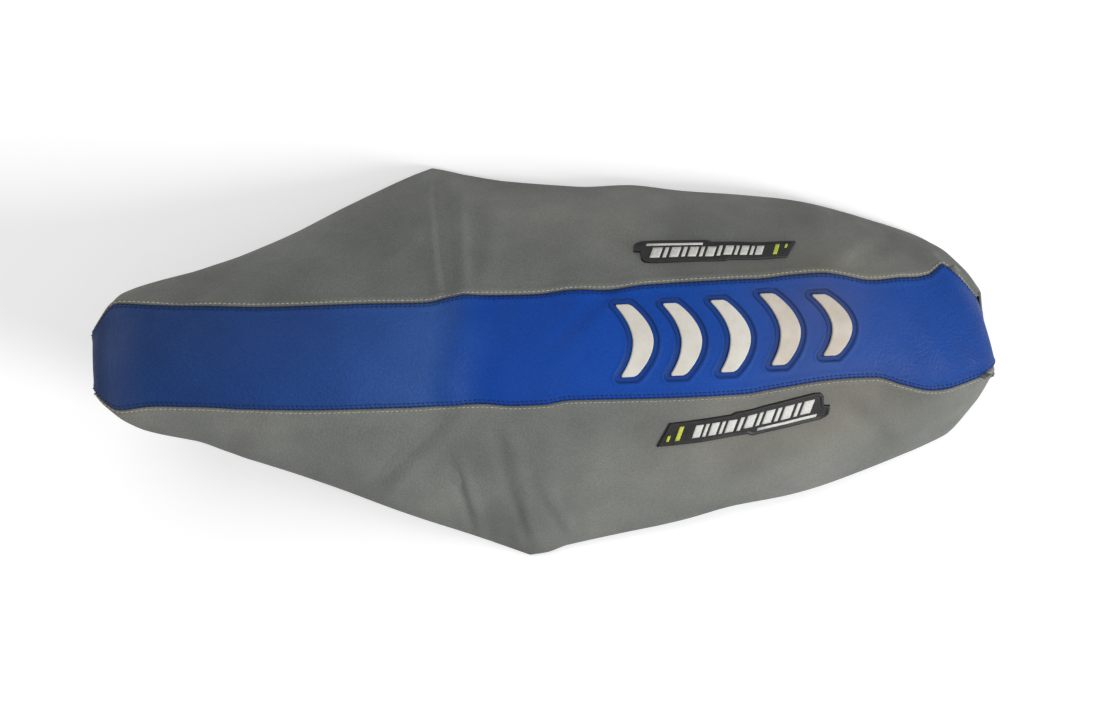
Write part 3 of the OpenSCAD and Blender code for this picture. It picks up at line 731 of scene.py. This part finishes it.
def round_fold(points, first, last, times=6):
    """Rounds the fold at the lower edge by smoothing the columns near it."""
    for _ in range(times):
        middle = points[:, first:last]
        around = (points[:, first - 1:last - 1] + points[:, first + 1:last + 1]) / 2
        points[:, first:last] = 0.5 * middle + 0.5 * around
    return points


def bare_side(side):
    """Grid of a side panel, from the seam down to the lower edge and under it to the hem's end."""
    wall = outside(rows[:, None], side, down_share(SIDE_STEPS + 1)[None, :])
    x = xs[:, None]
    inward = hem_at(x, side) * (np.arange(1, HEM_STEPS + 1) / HEM_STEPS)[None, :]
    y = side * (skirt_half(x, side) - inward)
    hem = point(x, y, under_z(x, y))
    return round_fold(np.concatenate([wall, hem], axis=1), SIDE_STEPS - 3, SIDE_STEPS + 3)


def seam_distance(points):
    """Distance from each point to its panel's seam, across the seat."""
    steps = np.linalg.norm(np.diff(points, axis=1), axis=-1)
    return np.concatenate([np.zeros((len(points), 1)), np.cumsum(steps, axis=1)], axis=1)


def soil_of(x, y):
    """Dirt rubbed into the cover, strongest beside the rear inserts and under the left badge."""
    cloud = 0.5 + 0.5 * mid_noise(x + 2, y + 1)
    rear = bell((x - 0.200) / 0.055, 1) * bell((y - 0.018) / 0.045, 1)
    patch = bell((x - 0.228) / 0.040, 1) * bell((y + 0.055) / 0.022, 1)
    near_badge = 0.5 * bell((x - 0.148) / 0.06, 1) * bell((y + 0.074) / 0.024, 1)
    nose = 0.25 * (1 - step_up(x, X_NOSE + 0.01, X_NOSE + 0.05))
    return np.clip((0.42 * rear + 0.30 * patch + near_badge * 0.6 + nose) * (0.55 + 0.6 * cloud), 0, 0.8)


TAIL_SKEW = 0.22


def skewed(points):
    """The sewn tail leans forward on the right, above the base."""
    x, y, z = points[..., 0], points[..., 1], points[..., 2]
    share_of_skew = step_up(x, 0.262, 0.345) * step_up(z, 0.014, 0.045)
    points[..., 0] -= TAIL_SKEW * share_of_skew * np.clip(y + 0.025, 0, 0.08)
    return points


# Sideways pull of the sewn cover at its seams and lower edges, as [share of length, millimetres to
# the right]
SEAM_PULL = {
    RIGHT: [[0, -4], [0.01, 0], [0.02, 4.5], [0.03, 6], [0.06, 4.5], [0.12, 2], [0.19, -1.5],
            [0.29, -3], [0.36, -4.7], [0.385, -2], [0.4, -1], [0.48, -3], [0.52, -1], [0.56, -2.2],
            [0.6, 0], [0.72, 0.8], [0.765, 4.7], [0.8, 7], [0.82, 5.5], [0.85, 1.6], [0.88, 0.8],
            [0.915, -2], [0.93, -1], [0.945, 5], [0.96, 12], [0.975, 9], [1, 0]],
    LEFT: [[0, 8], [0.01, 5], [0.03, 2.5], [0.06, 4], [0.095, 2.3], [0.13, 0.5], [0.16, -1.6],
           [0.26, -4.5], [0.33, -4], [0.41, -2.3], [0.45, -4.5], [0.48, -4.3], [0.51, -1.7],
           [0.6, -2.3], [0.7, -1.3], [0.73, 0.8], [0.8, 3.2], [0.85, 2.3], [0.88, -2], [0.91, -4],
           [0.95, -1.8], [1, -3]],
}
EDGE_PULL = {
    RIGHT: [[0, -5], [0.012, 0], [0.02, 3], [0.03, 6], [0.06, 5.5], [0.13, 2.3], [0.2, 2.3], [0.26, 4],
            [0.33, 6.2], [0.37, 4.5], [0.4, 1.6], [0.45, -1.2], [0.53, -1.6], [0.6, 2.5], [0.66, 0.5],
            [0.73, 1.6], [0.8, 3.5], [0.85, 2.3], [0.9, 0], [1, 0]],
    LEFT: [[0, 9], [0.012, 4], [0.03, 1.5], [0.095, 2.8], [0.13, 0], [0.2, -1.6], [0.3, -4],
           [0.37, -4.5], [0.455, -7.5], [0.475, -8.3], [0.5, -6], [0.6, -5.5], [0.63, -4.7], [0.7, -1],
           [0.76, -1.8], [0.85, 0], [0.92, 0.8], [0.96, -2], [1, -6]],
}


def pulled_top(points, k):
    u = share(points[..., 0])
    toward = (1 + k)[None, :] / 2
    points[..., 1] += MM * (smooth(SEAM_PULL[LEFT], u) * (1 - toward) + smooth(SEAM_PULL[RIGHT], u) * toward)
    return points


def pulled_side(points, side):
    u = share(points[..., 0])
    v = down_share(points.shape[1])[None, :]
    points[..., 1] += MM * (smooth(SEAM_PULL[side], u) * (1 - v) + smooth(EDGE_PULL[side], u) * v)
    return points


top_grid, first_row, top_k = bare_top()
top_grid = skewed(pulled_top(top_grid, top_k))
side_grids = {side: skewed(pulled_side(bare_side(side), side)) for side in (LEFT, RIGHT)}
last_row = first_row + len(rows)

# Cloth simulation of the whole cover: it is held along its hems, ends and seams over the foam,
# whose push is the pressure, and its sides are cut a little large, most of all at the skirt corners.
# It only settles the cover, by a few tenths of a millimetre.
SIM_ROWS, SIM_SIDE, SIM_TOP = 116, 20, 14
MOST_MOVE = 3.2 * MM
SIM_FRAMES = 20
CLOTH = {"quality": 6, "mass": 0.35, "tension_stiffness": 25, "compression_stiffness": 25,
         "shear_stiffness": 12, "bending_stiffness": 1.6, "air_damping": 2, "vertex_group_mass": "hold",
         "pin_stiffness": 1, "vertex_group_shrink": "slack", "shrink_min": 0.0, "shrink_max": -0.05,
         "use_pressure": True, "uniform_pressure_force": 0.35}


def pick(count, size):
    return np.unique(np.round(np.linspace(0, size - 1, count)).astype(int))


def simulate_cover():
    """Moves of the cover over its coarse grid, by cloth simulation, as three grids of vectors."""
    at_rows = pick(SIM_ROWS, len(rows))
    wall = pick(SIM_SIDE + 1, SIDE_STEPS + 1)
    across = pick(SIM_TOP + 1, 2 * TOP_STEPS + 1)
    main = top_grid[first_row:last_row]
    left = side_grids[LEFT][at_rows][:, wall[::-1]]
    middle = main[at_rows][:, across]
    right = side_grids[RIGHT][at_rows][:, wall]
    start = np.concatenate([left[:, :-1], middle, right[:, 1:]], axis=1)
    count_rows, count_cols = start.shape[:2]
    mesh = bpy.data.meshes.new("cover_cloth")
    faces = grid_faces(count_rows, count_cols, flip=True)
    mesh.from_pydata(start.reshape(-1, 3).tolist(), [], faces.tolist())
    cloth = bpy.data.objects.new("cover_cloth", mesh)
    bpy.context.scene.collection.objects.link(cloth)
    hold = np.zeros((count_rows, count_cols))
    hold[:, [0, -1]] = 1
    hold[:3] = 1
    hold[-3:] = 1
    hold[:, [len(wall) - 1, -len(wall)]] = 0.96
    x, y = start[..., 0], start[..., 1]
    corners = bell((x - corner_x(RIGHT) - 0.01) / 0.05, 1) * (y > 0.03)
    corners = corners + bell((x - corner_x(LEFT) + 0.03) / 0.06, 1) * (y < -0.03)
    slack = np.clip(corners + 0.35 * (np.abs(y) > 0.05), 0, 1)
    for name, weights in (("hold", hold), ("slack", slack)):
        group = cloth.vertex_groups.new(name=name)
        for index, weight in enumerate(weights.ravel()):
            if weight > 0.001:
                group.add([index], float(weight), "REPLACE")
    modifier = cloth.modifiers.new("cloth", "CLOTH")
    settings = modifier.settings
    for key, value in CLOTH.items():
        setattr(settings, key, value)
    settings.effector_weights.gravity = 0
    modifier.collision_settings.use_collision = False
    scene = bpy.context.scene
    for number in range(1, SIM_FRAMES + 1):
        scene.frame_set(number)
    seen = cloth.evaluated_get(bpy.context.evaluated_depsgraph_get())
    moved = np.array([v.co for v in seen.data.vertices], float).reshape(start.shape)
    scene.frame_set(1)
    bpy.data.objects.remove(cloth)
    move = moved - start
    size = np.linalg.norm(move, axis=-1, keepdims=True)
    move = move * MOST_MOVE * np.tanh(size / MOST_MOVE) / np.maximum(size, 1e-9)
    seam = len(wall) - 1
    parts = {LEFT: move[:, :seam + 1][:, ::-1], 0: move[:, seam:seam + len(across)],
             RIGHT: move[:, -seam - 1:]}
    return parts, at_rows, wall, across


def stretch_to(values, known, count):
    """Smooth values along the first axis from the known places to every place."""
    places = np.arange(count)
    i = np.clip(np.searchsorted(known, places, side="right") - 1, 0, len(known) - 2)
    t = ((places - known[i]) / (known[i + 1] - known[i]))[:, None, None]
    a, b = values[np.maximum(i - 1, 0)], values[i]
    c, d = values[i + 1], values[np.minimum(i + 2, len(known) - 1)]
    return 0.5 * (2 * b + (c - a) * t + (2 * a - 5 * b + 4 * c - d) * t ** 2
                  + (3 * b - a - 3 * c + d) * t ** 3)


def spread(values, at_rows, row_count, at_cols, col_count):
    along_rows = stretch_to(values, at_rows, row_count)
    return stretch_to(along_rows.swapaxes(0, 1), at_cols, col_count).swapaxes(0, 1)


moves, at_rows, wall, across = simulate_cover()
top_grid[first_row:last_row] += spread(moves[0], at_rows, len(rows), across, 2 * TOP_STEPS + 1)
for side in (LEFT, RIGHT):
    side_move = spread(moves[side], at_rows, len(rows), wall, SIDE_STEPS + 1)
    side_grids[side][:, :SIDE_STEPS + 1] += side_move

# Relief: seams, creases, folds and channels, along the cover's own normals
top_normals = grid_normals(top_grid)
side_normals = {side: side * grid_normals(side_grids[side]) for side in (LEFT, RIGHT)}
for side in (LEFT, RIGHT):
    edge = 0 if side == LEFT else -1
    shared = unit(top_normals[first_row:last_row, edge] + side_normals[side][:, 0])
    top_normals[first_row:last_row, edge] = shared
    side_normals[side][:, 0] = shared

top_x, top_y = top_grid[..., 0], top_grid[..., 1]
half = np.linalg.norm(np.diff(top_grid, axis=1), axis=-1).sum(1)[:, None] / 2
top_distance = half * (1 - np.abs(top_k))[None, :]
on_top = np.zeros(len(top_grid))
on_top[first_row:last_row] = 1
on_top = on_top[:, None]
relief, gripper_gap = top_relief(top_x, top_y, top_distance)
gripper_gap = np.where(on_top > 0, gripper_gap, 1.0)
top_outer = top_grid + top_normals * (relief * on_top)[..., None]
top_inner = top_grid - top_normals * SKIN_T
# Painted shade: dark lines round each insert's channel and at the insert's edge, a darker channel floor, and
# a dark line along each seam.
line = bell(gripper_gap - CHANNEL, 0.55 * MM) + 0.8 * bell(gripper_gap, 0.5 * MM)
channel = 0.25 * (1 - step_up(gripper_gap, CHANNEL - 0.4 * MM, CHANNEL + 0.2 * MM))
top_shade = np.clip(0.72 * line + channel, 0, 0.9) + 0.35 * bell(top_distance, 0.8 * MM) * on_top
top_soil = soil_of(top_x, top_y)


def double(values):
    return np.concatenate([np.ravel(values), np.ravel(values)])


top_panel = make_piece("top_cover", [closed_skin(top_outer, top_inner)], blue_vinyl,
                       attributes={"soil": double(top_soil), "shade": double(np.clip(top_shade, 0, 0.95))})
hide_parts("top_panel")

side_outer, side_covers = {}, {}
for side, word in ((LEFT, "left"), (RIGHT, "right")):
    bare, normals = side_grids[side], side_normals[side]
    x, y = bare[..., 0], bare[..., 1]
    distance = seam_distance(bare)
    reach = down_share(bare.shape[1])[None, :]
    ends = step_up(x, X_NOSE + 0.002, X_NOSE + 0.02) * (1 - step_up(x, X_TAIL - 0.02, X_TAIL - 0.002))
    lift = side_relief(x, y, side, distance, reach)
    lift = np.where(distance < 0.012, lift, lift * ends * (1 - step_up(reach, 0.9, 1.0)))
    outer = bare + normals * lift[..., None]
    inner = bare - normals * SKIN_T
    side_outer[side] = outer
    # Painted shade: a dark line along the seam.
    shade = 0.45 * bell(distance, 0.8 * MM)
    faces_v, faces_f = closed_skin(outer, inner)
    if side == LEFT:
        faces_f = faces_f[:, ::-1]
    panel = make_piece(f"{word}_side_cover", [(faces_v, faces_f)], grey_vinyl,
                       attributes={"soil": double(soil_of(x, y)), "shade": double(shade)})
    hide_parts(f"{word}_side_panel")
    side_covers[side] = panel


# ---- reading places on the finished cover ----

def sample(grid, row, col):
    """Smooth value of a grid of vectors at fractional rows and columns."""
    row = np.clip(row, 0, grid.shape[0] - 1.000001)
    col = np.clip(col, 0, grid.shape[1] - 1.000001)
    i, j = np.floor(row).astype(int), np.floor(col).astype(int)
    s, t = (row - i)[..., None], (col - j)[..., None]
    return ((grid[i, j] * (1 - s) + grid[i + 1, j] * s) * (1 - t)
            + (grid[i, j + 1] * (1 - s) + grid[i + 1, j + 1] * s) * t)


def row_index(x):
    return np.interp(x, xs, np.arange(len(xs)))


def top_place(x, y, lift):
    """Point over the centre panel, above its shape without the pressed relief."""
    row = row_index(x) + first_row
    left = -strip_half(x) + MM * smooth(SEAM_PULL[LEFT], share(x))
    right = strip_half(x) + MM * smooth(SEAM_PULL[RIGHT], share(x))
    col = 2 * TOP_STEPS * (y - left) / (right - left)
    return sample(top_grid, row, col) + np.asarray(lift)[..., None] * unit(sample(top_normals, row, col))


def side_col(v):
    return SIDE_STEPS * np.clip(v, 0, 1) ** (1 / SIDE_POWER)


def side_place(x, down, side, lift):
    """Point over a side panel, a distance down from its seam."""
    row, col = row_index(x), side_col(down / side_len(x, side))
    normal = unit(sample(side_normals[side], row, col))
    return sample(side_outer[side], row, col) + np.asarray(lift)[..., None] * normal


# ---- stitching ----

def seam_track(grid, normals, inset):
    """Line at an even distance from a seam, which is column 0, with the directions up from it."""
    lengths = seam_distance(grid)
    cols = np.array([np.interp(inset, row, np.arange(len(row))) for row in lengths])
    at = np.arange(len(grid), dtype=float)
    return sample(grid, at, cols), unit(sample(normals, at, cols))


THREAD_R = 0.34 * MM
STITCH_SHARE = 0.74
STITCH_RISE = np.array([-0.45, 0.16, 0.34, 0.34, 0.16, -0.45]) * MM


def stitch_row(line, ups, first=0.0, seed=0):
    """Tubes for one row of stitches, each dipping into the cover at its ends."""
    lengths = np.concatenate([[0], np.cumsum(np.linalg.norm(np.diff(line, axis=0), axis=1))])
    count = int((lengths[-1] - first) / STITCH_PITCH) - 1
    jitter = np.random.default_rng(seed).uniform(-0.12, 0.12, (count, 2)) * MM
    places = first + STITCH_PITCH * np.arange(count)[:, None] + jitter[:, :1]
    places = places + np.linspace(0, STITCH_SHARE * STITCH_PITCH, 6)[None, :]

    def at(values):
        return np.stack([np.interp(places, lengths, values[:, axis]) for axis in range(3)], -1)
    up = unit(at(ups))
    ahead = unit(np.gradient(at(line), axis=1))
    across = unit(np.cross(ahead, up))
    lean = (jitter[:, 1:, None] * np.linspace(-1, 1, 6)[None, :, None]) * across
    middle = at(line) + up * STITCH_RISE[None, :, None] + lean
    angles = np.arange(6) * math.pi / 3
    ring = (np.cos(angles)[:, None] * across[:, :, None, :] + np.sin(angles)[:, None] * up[:, :, None, :])
    points = middle[:, :, None, :] + THREAD_R * ring
    one = []
    for i in range(5):
        for j in range(6):
            k = (j + 1) % 6
            one.append((i * 6 + j, i * 6 + k, (i + 1) * 6 + k, (i + 1) * 6 + j))
    one += [(3, 2, 1, 0), (5, 4, 3, 0), (30, 31, 32, 33), (30, 33, 34, 35)]
    faces = (np.array(one)[None] + 36 * np.arange(count)[:, None, None]).reshape(-1, 4)
    return points.reshape(-1, 3), faces


# Rows of stitches as (distance from the seam, start of the first stitch, seed of its small shifts)
NAVY_ROWS = [(1.1 * MM, 0.0, 11), (3.9 * MM, 1.7 * MM, 12)]
PALE_ROW = (2.1 * MM, 1.0 * MM, 13)

main_top = top_outer[first_row:last_row]
main_normals = top_normals[first_row:last_row]
blue_threads, pale_threads = [], {}
for side, word in ((LEFT, "left"), (RIGHT, "right")):
    turn_to_seam = slice(None) if side == LEFT else slice(None, None, -1)
    seam_grid, seam_normals = main_top[:, turn_to_seam], main_normals[:, turn_to_seam]
    navy = [stitch_row(*seam_track(seam_grid, seam_normals, inset), first, seed)
            for inset, first, seed in NAVY_ROWS]
    blue_threads.append(make_piece(f"{word}_navy_stitching", navy, navy_thread))
    pale = stitch_row(*seam_track(side_outer[side], side_normals[side], PALE_ROW[0]), *PALE_ROW[1:])
    pale_threads[side] = make_piece(f"{word}_pale_stitching", [pale], pale_thread)


# ---- gripper inserts ----

PAD_EDGE, PAD_CORNER = 0.8 * MM, 2.6 * MM
PAD_SOIL = [0.0, 0.0, 0.0, 0.34, 0.20]
CLEAN_PADS = 3


def eased(count):
    """Places from -1 to 1 that crowd towards both ends."""
    return np.sin(np.linspace(-math.pi / 2, math.pi / 2, count))


for i in range(GRIPPERS):
    a, b = np.meshgrid(eased(61), eased(21), indexing="ij")
    from_end = (1 - np.abs(a)) * gripper_len(i) / 2
    cut = fall(from_end, PAD_CORNER)
    wide = gripper_half(a) - cut
    x, y = gripper_at(i, a, b * wide)
    edge = np.minimum(wide * (1 - np.abs(b)), from_end)
    rounding = np.sqrt(1 - (1 - np.clip(edge / PAD_EDGE, 0, 1)) ** 2)
    rise = (-0.5 + 1.30 * rounding + 0.08 * (1 - b * b) + 0.05 * small_noise(x * 2, y * 2)) * MM
    top = top_place(x, y, rise)
    under = top_place(x, y, np.full(x.shape, -0.95 * MM))
    cloud = 0.4 + 0.6 * mid_noise(x * 2, y * 2) + 0.25 * (edge < 1.2 * MM)
    soil = np.clip(PAD_SOIL[i] * cloud, 0, 0.7)
    skin_v, skin_f = closed_skin(top, under)
    rubber = white_rubber if i < CLEAN_PADS else worn_rubber
    pad = make_piece(f"gripper_pad_{i + 1}", [(skin_v, skin_f[:, ::-1])], rubber,
                     attributes={"soil": double(soil)})
    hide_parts(f"gripper_{i + 1}")


# ---- side badges ----

# Each badge's middle along the seat, its tilt in degrees, its distance down from the seam and its stretch
BADGE_MIDDLE = X_NOSE + LENGTH / 2
BADGE = {RIGHT: (BADGE_MIDDLE + LENGTH * 0.181, 2.3, 0.030, 1.01),
         LEFT: (BADGE_MIDDLE + LENGTH * 0.201, 5.0, 0.0255, 1.07)}
# The badge's outline in plan, read from its emblem end, with the stepped edges of the real one
BADGE_LOW = [(-64, -9.5), (2, -9.5), (6, -11.8), (57, -11.8), (61.5, -10.2), (63.5, -8), (64, -1.5)]
BADGE_HIGH = [(-64, -9.4), (-54.5, 9.2), (-9, 9.6), (-6.5, 11), (52, 11.6), (56.5, 10.6), (58.8, 7.5),
              (59, 0.8), (59.3, -0.2), (64, -1.2)]
BADGE_RIM, RIM_H, FLOOR_H = 2.4, 1.9, 1.15


def badge_place(side, p, q, lift):
    """Point on a badge: p along it from its emblem end and q towards the seam, in millimetres."""
    middle, tilt, drop, stretch = BADGE[side]
    run = stretch * p * MM
    x = middle + run if side == LEFT else middle - run
    down = drop - stretch * q * MM + side * run * math.tan(math.radians(tilt))
    return side_place(x, down, side, lift)


def badge_outline():
    return np.array(BADGE_LOW + BADGE_HIGH[::-1], float)


def bar_grid(corners, side, low, high, steps=(5, 5)):
    """Raised slab over four corners in a badge's own plane, its edges rounded a little."""
    (ax, ay), (bx, by), (cx, cy), (dx, dy) = corners
    s, t = np.meshgrid(np.linspace(0, 1, steps[0]), np.linspace(0, 1, steps[1]), indexing="ij")
    p = (ax * (1 - s) + bx * s) * (1 - t) + (dx * (1 - s) + cx * s) * t
    q = (ay * (1 - s) + by * s) * (1 - t) + (dy * (1 - s) + cy * s) * t
    edge = np.minimum(np.minimum(s, 1 - s), np.minimum(t, 1 - t)) > 0
    top = badge_place(side, p, q, np.where(edge, high, high - 0.12 * MM))
    under = badge_place(side, p, q, np.full(p.shape, low))
    return closed_skin(top, under)


def slant(x, width, low, high, lean=0.34):
    start, end = x + lean * low, x + lean * high
    return [(start, low), (start + width, low), (end + width, high), (end, high)]


# Plain marks in place of lettering: slanted bars of a few widths over a thin line
MARKS = [slant(x, w, low, high) for x, w, low, high in
         ((-37, 5.6, -4.8, 5.2), (-29.6, 2.4, -4.8, 5.2), (-25.2, 5.6, -4.8, 5.2), (-17.6, 2.4, -4.8, 5.2),
          (-13.2, 6.4, -4.8, 5.2), (-4.4, 2.6, -4.8, 6.2), (0.4, 6.6, -3.6, 6.8), (9.2, 2.6, -3.6, 6.8),
          (14, 6.6, -3.6, 6.8), (22.8, 2.8, -3.6, 6.8), (27.8, 7.0, -3.6, 6.8), (37.2, 2.8, -3.6, 6.8),
          (42.2, 7.6, -3.6, 6.8), (12, 44, -8.2, -6.0))]
LIME_MARKS = [slant(-49, 3.2, -5.6, 5.8), slant(-55.5, 2.0, -5.6, -1.0)]

for side, word in ((LEFT, "left"), (RIGHT, "right")):
    p_marks = np.unique(np.concatenate([np.linspace(-64, 64, 215), [-54.5, -9, -6.5, 2, 6, 57, 59, 59.3]]))
    low = np.interp(p_marks, *np.array(BADGE_LOW).T)
    high = np.interp(p_marks, *np.array(BADGE_HIGH).T)
    t = (eased(37) + 1) / 2
    p = np.repeat(p_marks[:, None], len(t), 1)
    q = low[:, None] + (high - low)[:, None] * t[None, :]
    depth = np.maximum(-distance_to(badge_outline(), p, q), 0)
    shoulder = np.sqrt(1 - (1 - np.clip(depth / 0.8, 0, 1)) ** 2)
    rim = 1 - step_up(depth, BADGE_RIM - 0.5, BADGE_RIM + 0.2)
    second = bell(depth - 3.7, 0.35)
    height = (0.35 + (FLOOR_H - 0.35 + (RIM_H - FLOOR_H) * rim + 0.25 * second) * shoulder) * MM
    back = badge_place(side, p, q, np.full(p.shape, 0.05 * MM))
    plate = closed_skin(badge_place(side, p, q, height), back)
    badge = make_piece(f"{word}_badge_plate", [plate], badge_black)
    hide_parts(f"{word}_badge")
    for name, shapes, material in (("marks", MARKS, white_print), ("accent", LIME_MARKS, lime_print)):
        solids = [bar_grid(shape, side, (FLOOR_H - 0.25) * MM, (FLOOR_H + 0.42) * MM) for shape in shapes]
        make_piece(f"{word}_badge_{name}", solids, material, smooth_shade=False)


# ---- foam and seam allowances under the cover ----

FOAM_DEPTH = 4.4 * MM


def foam_rows():
    places = np.concatenate([np.linspace(X_NOSE + 0.006, -0.16, 22)[:-1], np.linspace(-0.16, 0.29, 42)[:-1],
                             np.linspace(0.29, X_TAIL - 0.008, 14)])
    return places


def foam_grids():
    x = foam_rows()[:, None]
    row = row_index(x)
    halves = {}
    for side in (LEFT, RIGHT):
        seam_z = top_z(x) - CROWN * fullness(x)
        reach = np.maximum(0.1, 1 - (PAN_TOP + 0.004) / (seam_z - edge_z(x, side)))
        v = reach * np.linspace(0, 1, 15)[None, 1:]
        col = side_col(v)
        rows_2d = np.broadcast_to(row, col.shape)
        halves[side] = (sample(side_grids[side], rows_2d, col)
                        - FOAM_DEPTH * unit(sample(side_normals[side], rows_2d, col)))
    cols = np.broadcast_to(np.linspace(0, 2 * TOP_STEPS, 21)[None, :], (len(x), 21))
    rows_2d = np.broadcast_to(row, cols.shape) + first_row
    middle = sample(top_grid, rows_2d, cols) - FOAM_DEPTH * unit(sample(top_normals, rows_2d, cols))
    over = np.concatenate([halves[LEFT][:, ::-1], middle, halves[RIGHT]], axis=1)
    k = np.linspace(-1, 1, over.shape[1])[None, :]
    edge = np.where(k < 0, skirt_half(x, LEFT), skirt_half(x, RIGHT)) - PAN_INSET
    y = k * edge
    below = point(x, y, under_z(x, y) + PAN_TOP + 0.0006)
    pits = [small_noise(over[..., 0] * 3, over[..., 1] * 3 + turn) for turn in (0, 1, 2)]
    return over + 0.25 * MM * np.stack(pits, -1), below


foam = make_piece("foam_core", [closed_skin(*foam_grids())], foam_grain)
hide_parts("foam_block")

TAB_X = {RIGHT: 0.331, LEFT: 0.336}
TAB_LONG, TAB_OUT = 8 * MM, 5.0 * MM


def seam_tab(side):
    """The allowance's loose end, which stands out of the seam near the tail."""
    row, seam = np.array([row_index(TAB_X[side])]), np.zeros(1)
    start = sample(side_outer[side], row, seam)[0]
    ahead = unit(sample(side_outer[side], row + 2, seam)[0] - sample(side_outer[side], row - 2, seam)[0])
    out = unit(sample(side_normals[side], row, seam)[0])
    across = np.cross(ahead, out)
    s, t = np.meshgrid(np.linspace(-0.5, 0.5, 7), np.linspace(-0.3, 1, 7), indexing="ij")
    curl = 0.7 * MM * np.sin(3 * s + 2 * t)
    face = start + (TAB_LONG * s)[..., None] * ahead + (TAB_OUT * t)[..., None] * out
    face = face + curl[..., None] * across
    return closed_skin(face + 0.8 * MM * across, face - 0.8 * MM * across)


for side, word in ((LEFT, "left"), (RIGHT, "right")):
    turn_to_seam = slice(None) if side == LEFT else slice(None, None, -1)
    inner_rows = np.arange(len(nose_rows) + 3, len(rows) - len(tail_rows), 4)
    top_line_grid = (top_grid - top_normals * 2.0 * MM)[first_row:last_row][:, turn_to_seam]
    side_line_grid = side_grids[side] - side_normals[side] * 2.0 * MM
    ragged = 6.6 * MM + 0.5 * MM * small_noise(xs[inner_rows], xs[inner_rows] * 0 + side)
    over_seam = (top_line_grid, top_normals[first_row:last_row][:, turn_to_seam])
    past_seam = (side_line_grid, side_normals[side])
    lines = [(*over_seam, 1.0), (*over_seam, 0.5), (*past_seam, 0.0), (*past_seam, 0.5), (*past_seam, 1.0)]
    strips = []
    for depth in (0.0, 1.0 * MM):
        across_points = []
        for grid, normals, share_out in lines:
            lengths = seam_distance(grid)
            cols = np.array([np.interp(reach * share_out, lengths[r], np.arange(lengths.shape[1]))
                             for r, reach in zip(inner_rows, ragged)])
            at = inner_rows.astype(float)
            across_points.append(sample(grid, at, cols) - depth * unit(sample(normals, at, cols)))
        strips.append(np.stack(across_points, axis=1))
    strip_v, strip_f = closed_skin(*strips)
    if side == LEFT:
        strip_f = strip_f[:, ::-1]
    allowance = make_piece(f"{word}_seam_strip", [(strip_v, strip_f), seam_tab(side)], grey_vinyl)
    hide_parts(f"{word}_seam_allowance")


# ---- finishes of the base and its hardware ----

def repaint(material, *names):
    for name in names:
        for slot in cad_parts[name].material_slots:
            slot.material = material


repaint(pan_black, "base_pan")
repaint(bracket_steel, "front_hook", "middle_hook", "left_rear_bracket", "right_rear_bracket")
repaint(zinc_steel, "cover_staples", "front_hook_screws", "middle_hook_screws", "rear_bracket_screws")
repaint(black_rubber, "front_left_cushion", "front_right_cushion", "rear_left_cushion", "rear_right_cushion")


# ---- camera, floor and lights ----

scene = bpy.context.scene
scene.view_settings.view_transform = "Standard"

SCALE = 0.983
TARGET_Z, CAMERA_AWAY = 0.080 * SCALE, 1.39765 * SCALE
ELEVATION, ROLL = math.radians(85.59), math.radians(-2.83)
target = Vector((0, 0, TARGET_Z))
direction = Vector((0, -math.cos(ELEVATION), math.sin(ELEVATION)))
right_way = (-direction).cross(Vector((0, 0, 1))).normalized()
up_way = right_way.cross(-direction)
camera_x = right_way * math.cos(ROLL) + up_way * math.sin(ROLL)
camera_y = -right_way * math.sin(ROLL) + up_way * math.cos(ROLL)
turn = Matrix((camera_x, camera_y, direction)).transposed().to_4x4()
camera_data = bpy.data.cameras.new("camera")
camera_data.lens = 57.33
camera_data.sensor_width = 36
camera_data.shift_x = -0.0077
camera_data.shift_y = -0.0113
camera = bpy.data.objects.new("camera", camera_data)
camera.matrix_world = Matrix.Translation(target + direction * CAMERA_AWAY) @ turn
scene.collection.objects.link(camera)
scene.camera = camera


def white_to_camera(material, surface_colour, seen_strength):
    """A pale backdrop that looks white to the camera and still takes the seat's soft shadow."""
    tree = material.node_tree
    shader = tree.nodes["Principled BSDF"]
    shader.inputs["Base Color"].default_value = surface_colour
    shader.inputs["Roughness"].default_value = 0.9
    shader.inputs["Emission Color"].default_value = (1, 1, 1, 1)
    path = tree.nodes.new("ShaderNodeLightPath")
    scale = tree.nodes.new("ShaderNodeMath")
    scale.operation = "MULTIPLY"
    scale.inputs[1].default_value = seen_strength
    tree.links.new(path.outputs["Is Camera Ray"], scale.inputs[0])
    tree.links.new(scale.outputs["Value"], shader.inputs["Emission Strength"])


floor_material = bpy.data.materials.new("floor_white")
floor_material.use_nodes = True
white_to_camera(floor_material, (0.82, 0.82, 0.82, 1), 0.32)
floor_mesh = bpy.data.meshes.new("floor")
floor_mesh.from_pydata([(-30, -30, 0), (30, -30, 0), (30, 30, 0), (-30, 30, 0)], [], [(0, 1, 2, 3)])
floor_mesh.materials.append(floor_material)
floor = bpy.data.objects.new("floor", floor_mesh)
floor.location.z = -0.0005
scene.collection.objects.link(floor)


def lamp(name, place, aim, size, power):
    data = bpy.data.lights.new(name, "AREA")
    data.shape = "DISK"
    data.size = size
    data.energy = power
    light = bpy.data.objects.new(name, data)
    light.location = place
    light.rotation_euler = (Vector(aim) - Vector(place)).to_track_quat("-Z", "Y").to_euler()
    scene.collection.objects.link(light)


lamp("key_softbox", (1.7, -1.1, 1.4), (0, 0, 0.05), 0.8, 40)
lamp("fill_softbox", (-0.6, 0.9, 2.0), (0, 0, 0.05), 1.4, 11)
world = bpy.data.worlds.new("studio")
world.use_nodes = True
world.node_tree.nodes["Background"].inputs["Color"].default_value = (1, 1, 1, 1)
world.node_tree.nodes["Background"].inputs["Strength"].default_value = 0.42
scene.world = world
